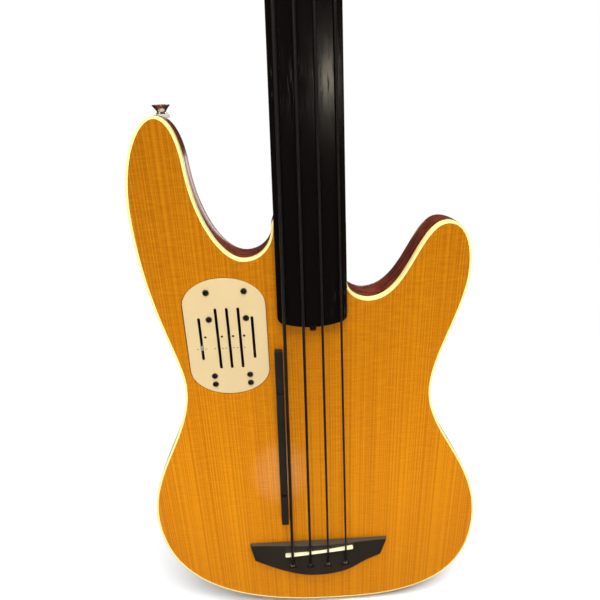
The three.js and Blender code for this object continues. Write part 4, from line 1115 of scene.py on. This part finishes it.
def make_string(index):
    """From the ball in its keyhole over saddle and nut, then three turns down round the post."""
    name, diameter, post_x, post_at = STRINGS[index]
    radius = diameter / 2
    side = copysign(1, post_x)
    wrap_radius = POST_WAIST + 0.1 + radius
    wrap_top = WRAP_FLOOR + 3 * diameter - radius
    ball_x = string_x(index, ANCHOR_Y)
    saddle_x = string_x(index, SADDLE_Y)
    ball_at = Vector((ball_x, BALL_Y, 3.2))
    crest = (saddle_x, SADDLE_Y + SADDLE_SLANT * saddle_x, SADDLE_TOP + radius - 0.05)
    over_nut = (string_x(index, NUT_Y), NUT_Y + 0.8, NUT_SLOT_FLOOR + 0.25 + radius)
    tangent = HEAD @ Vector((post_x - side * wrap_radius, post_at, wrap_top))
    path = eased([ball_at, (ball_x, ANCHOR_Y + 2.5, 5.6), crest, over_nut, tangent], 2.4)[:-1]
    last = path.pop()
    path += [last.lerp(tangent, share) for share in (0, 0.3, 0.6, 0.9)]
    per_turn = 28
    for step in range(int(WRAP_TURNS * per_turn) + 1):
        angle = tau * step / per_turn
        across = post_x - side * wrap_radius * cos(angle)
        along = post_at + wrap_radius * sin(angle)
        height = max(wrap_top - diameter * step / per_turn, WRAP_FLOOR + radius)
        path.append(HEAD @ Vector((across, along, height)))
    whole(f"string_{name}", tube(path, radius, 14), sharp=60)

    half = [(2.3, 0.9), (2.75, 1.6), (2.5, 2.2), (1.4, 2.4)]
    profile = [(r, -distance) for r, distance in reversed(half)] + half
    ball = turned(profile, ball_at, (1, 0, 0), 24)
    piece(f"string_{name}_ball", ball, slot="steel", body="bass", material=BRASS)


# ---- tuners


def tuner_place(post_x, post_at):
    """A tuner's own frame: the post on the axis, x towards the headstock's nearer edge."""
    return HEAD @ placed(post_x, post_at, 0, pi if post_x < 0 else 0)


def tuner_housing(side):
    """A base plate with its ears, sleeve, nut and screws; the worm lies on this side of the post."""
    worm_y = side * WORM_Y
    near, far = sorted((-13 * side, 20 * side))
    plate = pad(rounded(-13, 19, near, far, 3), TUNER_BACK, TUNER_BACK + 2.35, 0, 0.7)
    sleeve = turned([(7.9, 0), (7.9, 18)], (0, 0, TUNER_BACK + 0.5))
    washer = turned([(11, 0), (11, 0.7), (10.6, 1.1), (8.6, 1.2)], (0, 0, 0.02), UP, 40)
    hexagon = turned([(9.2, 0), (9.2, 1.5), (8.2, 2.2)], (0, 0, 0.9), UP, 6)
    ears = [centred(x, worm_y, half, 4.6, TUNER_BACK - 8, TUNER_BACK + 1, 0.9)
            for x, half in ((-8, 2), (10.5, 2.5))]
    worm_bore = rod((-20, worm_y, WORM_Z), (30, worm_y, WORM_Z), 2.45)
    post_bore = rod((0, 0, -40), (0, 0, 20), POST_RADIUS + 0.2)
    screws = []
    for x, y in ((-10, -10 * side), (16, -10 * side), (16, 5.2 * side)):
        dome = turned([(1.9, 0), (1.8, -0.6), (1.2, -1.1), (0.3, -1.3)], (x, y, TUNER_BACK + 0.1), UP, 20)
        screws.append(cut(dome, centred(x, y, 2.2, 0.25, TUNER_BACK - 2, TUNER_BACK - 0.7)))
    return both(cut(both(plate, sleeve, washer, hexagon, *ears), worm_bore, post_bore), *screws)


def tuner_post():
    """A slotted post with a waist for the string and the worm wheel at its foot."""
    profile = [(5.6, TUNER_BACK - 1), (POST_RADIUS, TUNER_BACK - 0.4), (POST_RADIUS, 2.4), (5.9, 3.0),
               (4.9, 3.4), (POST_WAIST, 4.2), (POST_WAIST, 13.4), (4.9, 14.6), (5.8, 15.8),
               (POST_RADIUS, 16.6), (POST_RADIUS, POST_TOP - 0.9), (5.7, POST_TOP - 0.2), (5.0, POST_TOP)]
    slot = centred(0, 0, 1.4, 10, POST_TOP - 4, POST_TOP + 2)
    bore = rod((0, 0, POST_TOP - 9), (0, 0, POST_TOP + 2), 1.6)
    post = cut(turned(profile, (0, 0, 0), UP, 40), slot, bore)
    tip, root = 9.6, 8.3
    outline = []
    for tooth in range(WHEEL_TEETH):
        for radius, part in ((root, 0), (root, 0.2), (tip, 0.38), (tip, 0.62), (root, 0.8)):
            angle = tau * (tooth + part) / WHEEL_TEETH
            outline.append((radius * cos(angle), radius * sin(angle)))
    low = TUNER_BACK - GAP - WHEEL_THICKNESS
    wheel = pad(outline, low, TUNER_BACK - GAP, 0.35, 0.35, 2)
    screw_head = turned([(3.6, 0), (3.6, -0.25), (3.0, -0.3)], (0, 0, low + 0.1), UP, 28)
    return both(post, wheel, screw_head)


def tuner_key(side):
    """A shaft with its worm, a collar and a waisted paddle."""
    y = side * WORM_Y
    shaft = rod((-11, y, WORM_Z), (30, y, WORM_Z), 2.2)
    worm = thread((-5.6, y, WORM_Z), (1, 0, 0), 2.3, 3.2, 2.6, 13.2)
    collar = turned([(2.6, 0), (3.3, 0.4), (3.4, 1), (3.4, 2.6), (3.3, 3.2), (2.6, 3.6)],
                    (13.4, y, WORM_Z), (1, 0, 0))
    outline = [
        *bezier((49, 0), (49, 6), (47, 12.5), (38, 12)),
        *bezier((38, 12), (31, 11.5), (32, 5), (28, 2.8)),
        *bezier((28, -2.8), (32, -5), (31, -11.5), (38, -12)),
        *bezier((38, -12), (47, -12.5), (49, -6), (49, 0)),
    ]
    paddle = moved(pad(outline, -2.2, 2.2, 1.7, 1.7, 5), placed(0, y, WORM_Z))
    return both(shaft, worm, collar, paddle)


def make_tuners():
    """Each string with its housing, key and post."""
    for index, (name, _, post_x, post_at) in enumerate(STRINGS):
        side = 1 if post_x < 0 else -1
        place = tuner_place(post_x, post_at)
        whole(f"tuner_housing_{name}", moved(tuner_housing(side), place))
        whole(f"tuner_key_{name}", moved(tuner_key(side), place))
        whole(f"tuner_post_{name}", moved(tuner_post(), place))
        make_string(index)


# ---- thumb rest and preamp


def make_thumb_rest():
    """A bar with two sunk screws."""
    (x0, y0), (x1, y1) = THUMB_TOP, THUMB_BOTTOM
    half = hypot(x1 - x0, y1 - y0) / 2
    place = placed((x0 + x1) / 2, (y0 + y1) / 2, 0, atan2(x1 - x0, y0 - y1))
    outline = rounded(-THUMB_HALF, THUMB_HALF, -half, half, 1.1, 6)
    bar = moved(pad(outline, 0.02, THUMB_HEIGHT, 0.8, 0, 5), place)
    screws = [(x0 + (x1 - x0) * share, y0 + (y1 - y0) * share) for share in THUMB_SCREWS]
    whole("thumb_rest", cut(bar, *wells(screws, [(2.75, 4.5), (2.75, 5.7), (3.6, 6.5)])))
    for number, (x, y) in enumerate(screws, 1):
        whole(f"thumb_rest_screw_{number}", screw(x, y, 4.55, 2.5, 1.2, 14))


def make_preamp():
    """The slotted plate, its screws, the slider levers and the printed marks."""
    plate = pad(plate_outline(), -PLATE_THICKNESS, 0, 0.45, 0, 3)
    tools = []
    for _, x, low, high, _ in SLIDERS:
        tools.append(flared(rounded(x - SLOT_HALF, x + SLOT_HALF, low, high, 1.15, 5), -6, 0, 0.15))
        tools.append(brick(x - 2.6, x + 2.6, low - 1.4, high + 1.4, -6, -0.6))
    for x, y in PLATE_SCREWS:
        tools.append(flared(circle(x, y, 1.7, 20), -6, 0, 0.35))
    whole("preamp_plate", cut(plate, *tools))
    for number, (x, y) in enumerate(PLATE_SCREWS, 1):
        whole(f"preamp_screw_{number}", screw(x, y, 0.02, 2.75, 1.25, 8))
    for name, x, _, _, lever in SLIDERS:
        stem = centred(x, lever, 0.5, 1.5, -10.5, -0.6)
        cap = centred(x, lever, 0.9, 2, -1.4, 0.1, 0.15)
        grooves = [centred(x, lever + at, 2, 0.3, -0.5, 2) for at in (-1.1, 0, 1.1)]
        whole(f"slider_{name}", both(stem, cut(cap, *grooves)))
    dots = [pad(circle(x, MARK_DOTS_Y, 1.1, 20), *MARK_LEVELS) for x in MARK_DOTS_X]
    ticks = [centred(x, MARK_TICKS_Y, 0.7, 0.3, *MARK_LEVELS) for x in MARK_TICKS_X]
    piece("plate_marks", both(*dots, *ticks), slot="black_plastic", body="bass", material=PRINT)


# ---- battery, jack, strap buttons


def make_battery():
    """The box in the back, its battery and the hinged door."""
    x, y, width, height, depth = BATTERY
    tub = battery_wall(-0.05, BOX_FLANGE, BACK + 24)
    w, h = FLANGE_HALF
    flange = pad(rounded(x - w, x + w, y - h, y + h, 4), BOX_FLANGE, BACK - 0.02, 0, 0.5)
    bay = centred(x + 2, y, width / 2 + 4, height / 2 + 2, BOX_FLANGE - 5, BACK + 22)
    ears = [centred(x + side * 37.25, HINGE_Y, 1.75, 2, LID_FRONT - 3.4, BOX_FLANGE + 1, 0.5)
            for side in (-1, 1)]
    whole("battery_box", both(cut(both(tub, flange), bay), *[cut(ear, hinge_rod(45, 1.0)) for ear in ears]))

    back = BACK + 1.5
    cell = centred(x - 1.5, y, width / 2 - 1.5, height / 2, back, back + depth, 1.2)
    face = x + width / 2 - 3.2
    middle = back + depth / 2
    snap_at, socket_at = (face, y - 6, middle), (face, y + 6, middle)
    snap = turned([(3.0, 0), (3.0, 0.8), (2.7, 1.0), (2.7, 2.2), (3.0, 2.6), (3.0, 3.0), (2.2, 3.2)],
                  snap_at, (1, 0, 0), 24)
    socket = cut(turned([(3.2, 0), (3.2, 3.1)], socket_at, (1, 0, 0), 6),
                 turned([(2.3, 1), (2.3, 4)], socket_at, (1, 0, 0), 24))
    whole("battery", both(cell, snap, socket))

    w, h = LID_HALF
    outer = LID_FRONT - LID_THICKNESS
    lid = pad(rounded(x - w, x + w, y - h, y + h, 2), outer, LID_FRONT, 0, 0.6)
    pull = brick(x - 7, x + 7, y - h - 2, y - h + 1.4, outer, LID_FRONT - 0.4, 0.4)
    ribs = [centred(x, y - 16.1 + 2 * rib, 9, 0.4, outer - 0.4, outer + 0.5, 0.25) for rib in range(5)]
    whole("battery_door", both(lid, pull, *ribs, hinge_rod(w, 1.6), hinge_rod(w + 3.5, 0.8)))


def hinge_rod(half_length, radius):
    """A rod on the battery door's hinge axis."""
    x = BATTERY[0]
    return rod((x - half_length, HINGE_Y, HINGE_Z), (x + half_length, HINGE_Y, HINGE_Z), radius)


def on_jack(y):
    """A point of the output socket's axis."""
    return JACK_X, y, EDGE_MID


def make_jack():
    """The threaded socket, and its washer and hexagon as one nut."""
    face, start = on_jack(JACK_FACE_Y), on_jack(JACK_FACE_Y - 3)
    along = (0, 1, 0)
    sleeve = thread(start, along, 5.6, 6.0, 0.9, 9, 32)
    barrel = rod(on_jack(JACK_FACE_Y + 5), on_jack(-62), 9, 32)
    bore = turned([(4.1, -2), (4.1, -0.2), (3.4, 0.6), (3.4, 27)], start, along)
    whole("output_jack", cut(both(sleeve, barrel), bore))
    washer = turned([(12.3, 1.2), (12.6, 0.9), (12.6, 0.1), (12.2, -0.2)], face, along, 48)
    hexagon = turned([(8.4, 0.5), (8.4, -1.9), (7.7, -2.4)], face, along, 6)
    opening = rod(on_jack(-100), on_jack(-60), 6.1, 40)
    whole("jack_nut", cut(both(washer, hexagon), opening))


def make_strap_buttons():
    """Two waisted buttons, each on a felt washer."""
    button = [(1.5, -20), (1.5, 0), (4.2, 0.02), (4.4, 0.3), (4.2, 0.7), (3.6, 1.1), (3.4, 1.5),
              (3.5, 2.0), (3.9, 2.7), (4.7, 3.8), (5.7, 5.0), (6.4, 5.8), (6.7, 6.2), (6.7, 6.5),
              (6.4, 6.75), (5.4, 6.8), (3.6, 6.8), (3.3, 6.5), (2.6, 6.6), (0.8, 6.75)]
    washer = [(1.8, 0), (5.7, 0), (5.8, 0.4), (5.8, 1.9), (5.6, 2.3), (5.0, 2.45), (1.8, 2.45)]
    for name, ((x, y, z), out) in STRAP_BUTTONS.items():
        start = (x, y + out * 0.2, z)
        outwards = placed(*start, -out * pi / 2, "X")
        cross = [moved(arm, outwards) for arm in cross_recess(0, 0, 6.8, 1.5, 1.2)]
        whole(f"strap_button_{name}", cut(turned(button, start, (0, out, 0), 48), *cross))
        seat = (x, y - out * (SPOT_FACE - 0.05), z)
        whole(f"strap_washer_{name}", turned(washer, seat, (0, out, 0), 40))


# ---- assembly

make_camera()
make_studio()
make_body()
make_neck()
make_fingerboard()
make_nut()
make_truss_nut()
make_neck_plate()
make_bridge()
make_tuners()
make_thumb_rest()
make_preamp()
make_battery()
make_jack()
make_strap_buttons()

for node, thing in frame["nodes"].items():
    for slot in thing.material_slots:
        slot.material = LOOKS[SUBPARTS[node]]
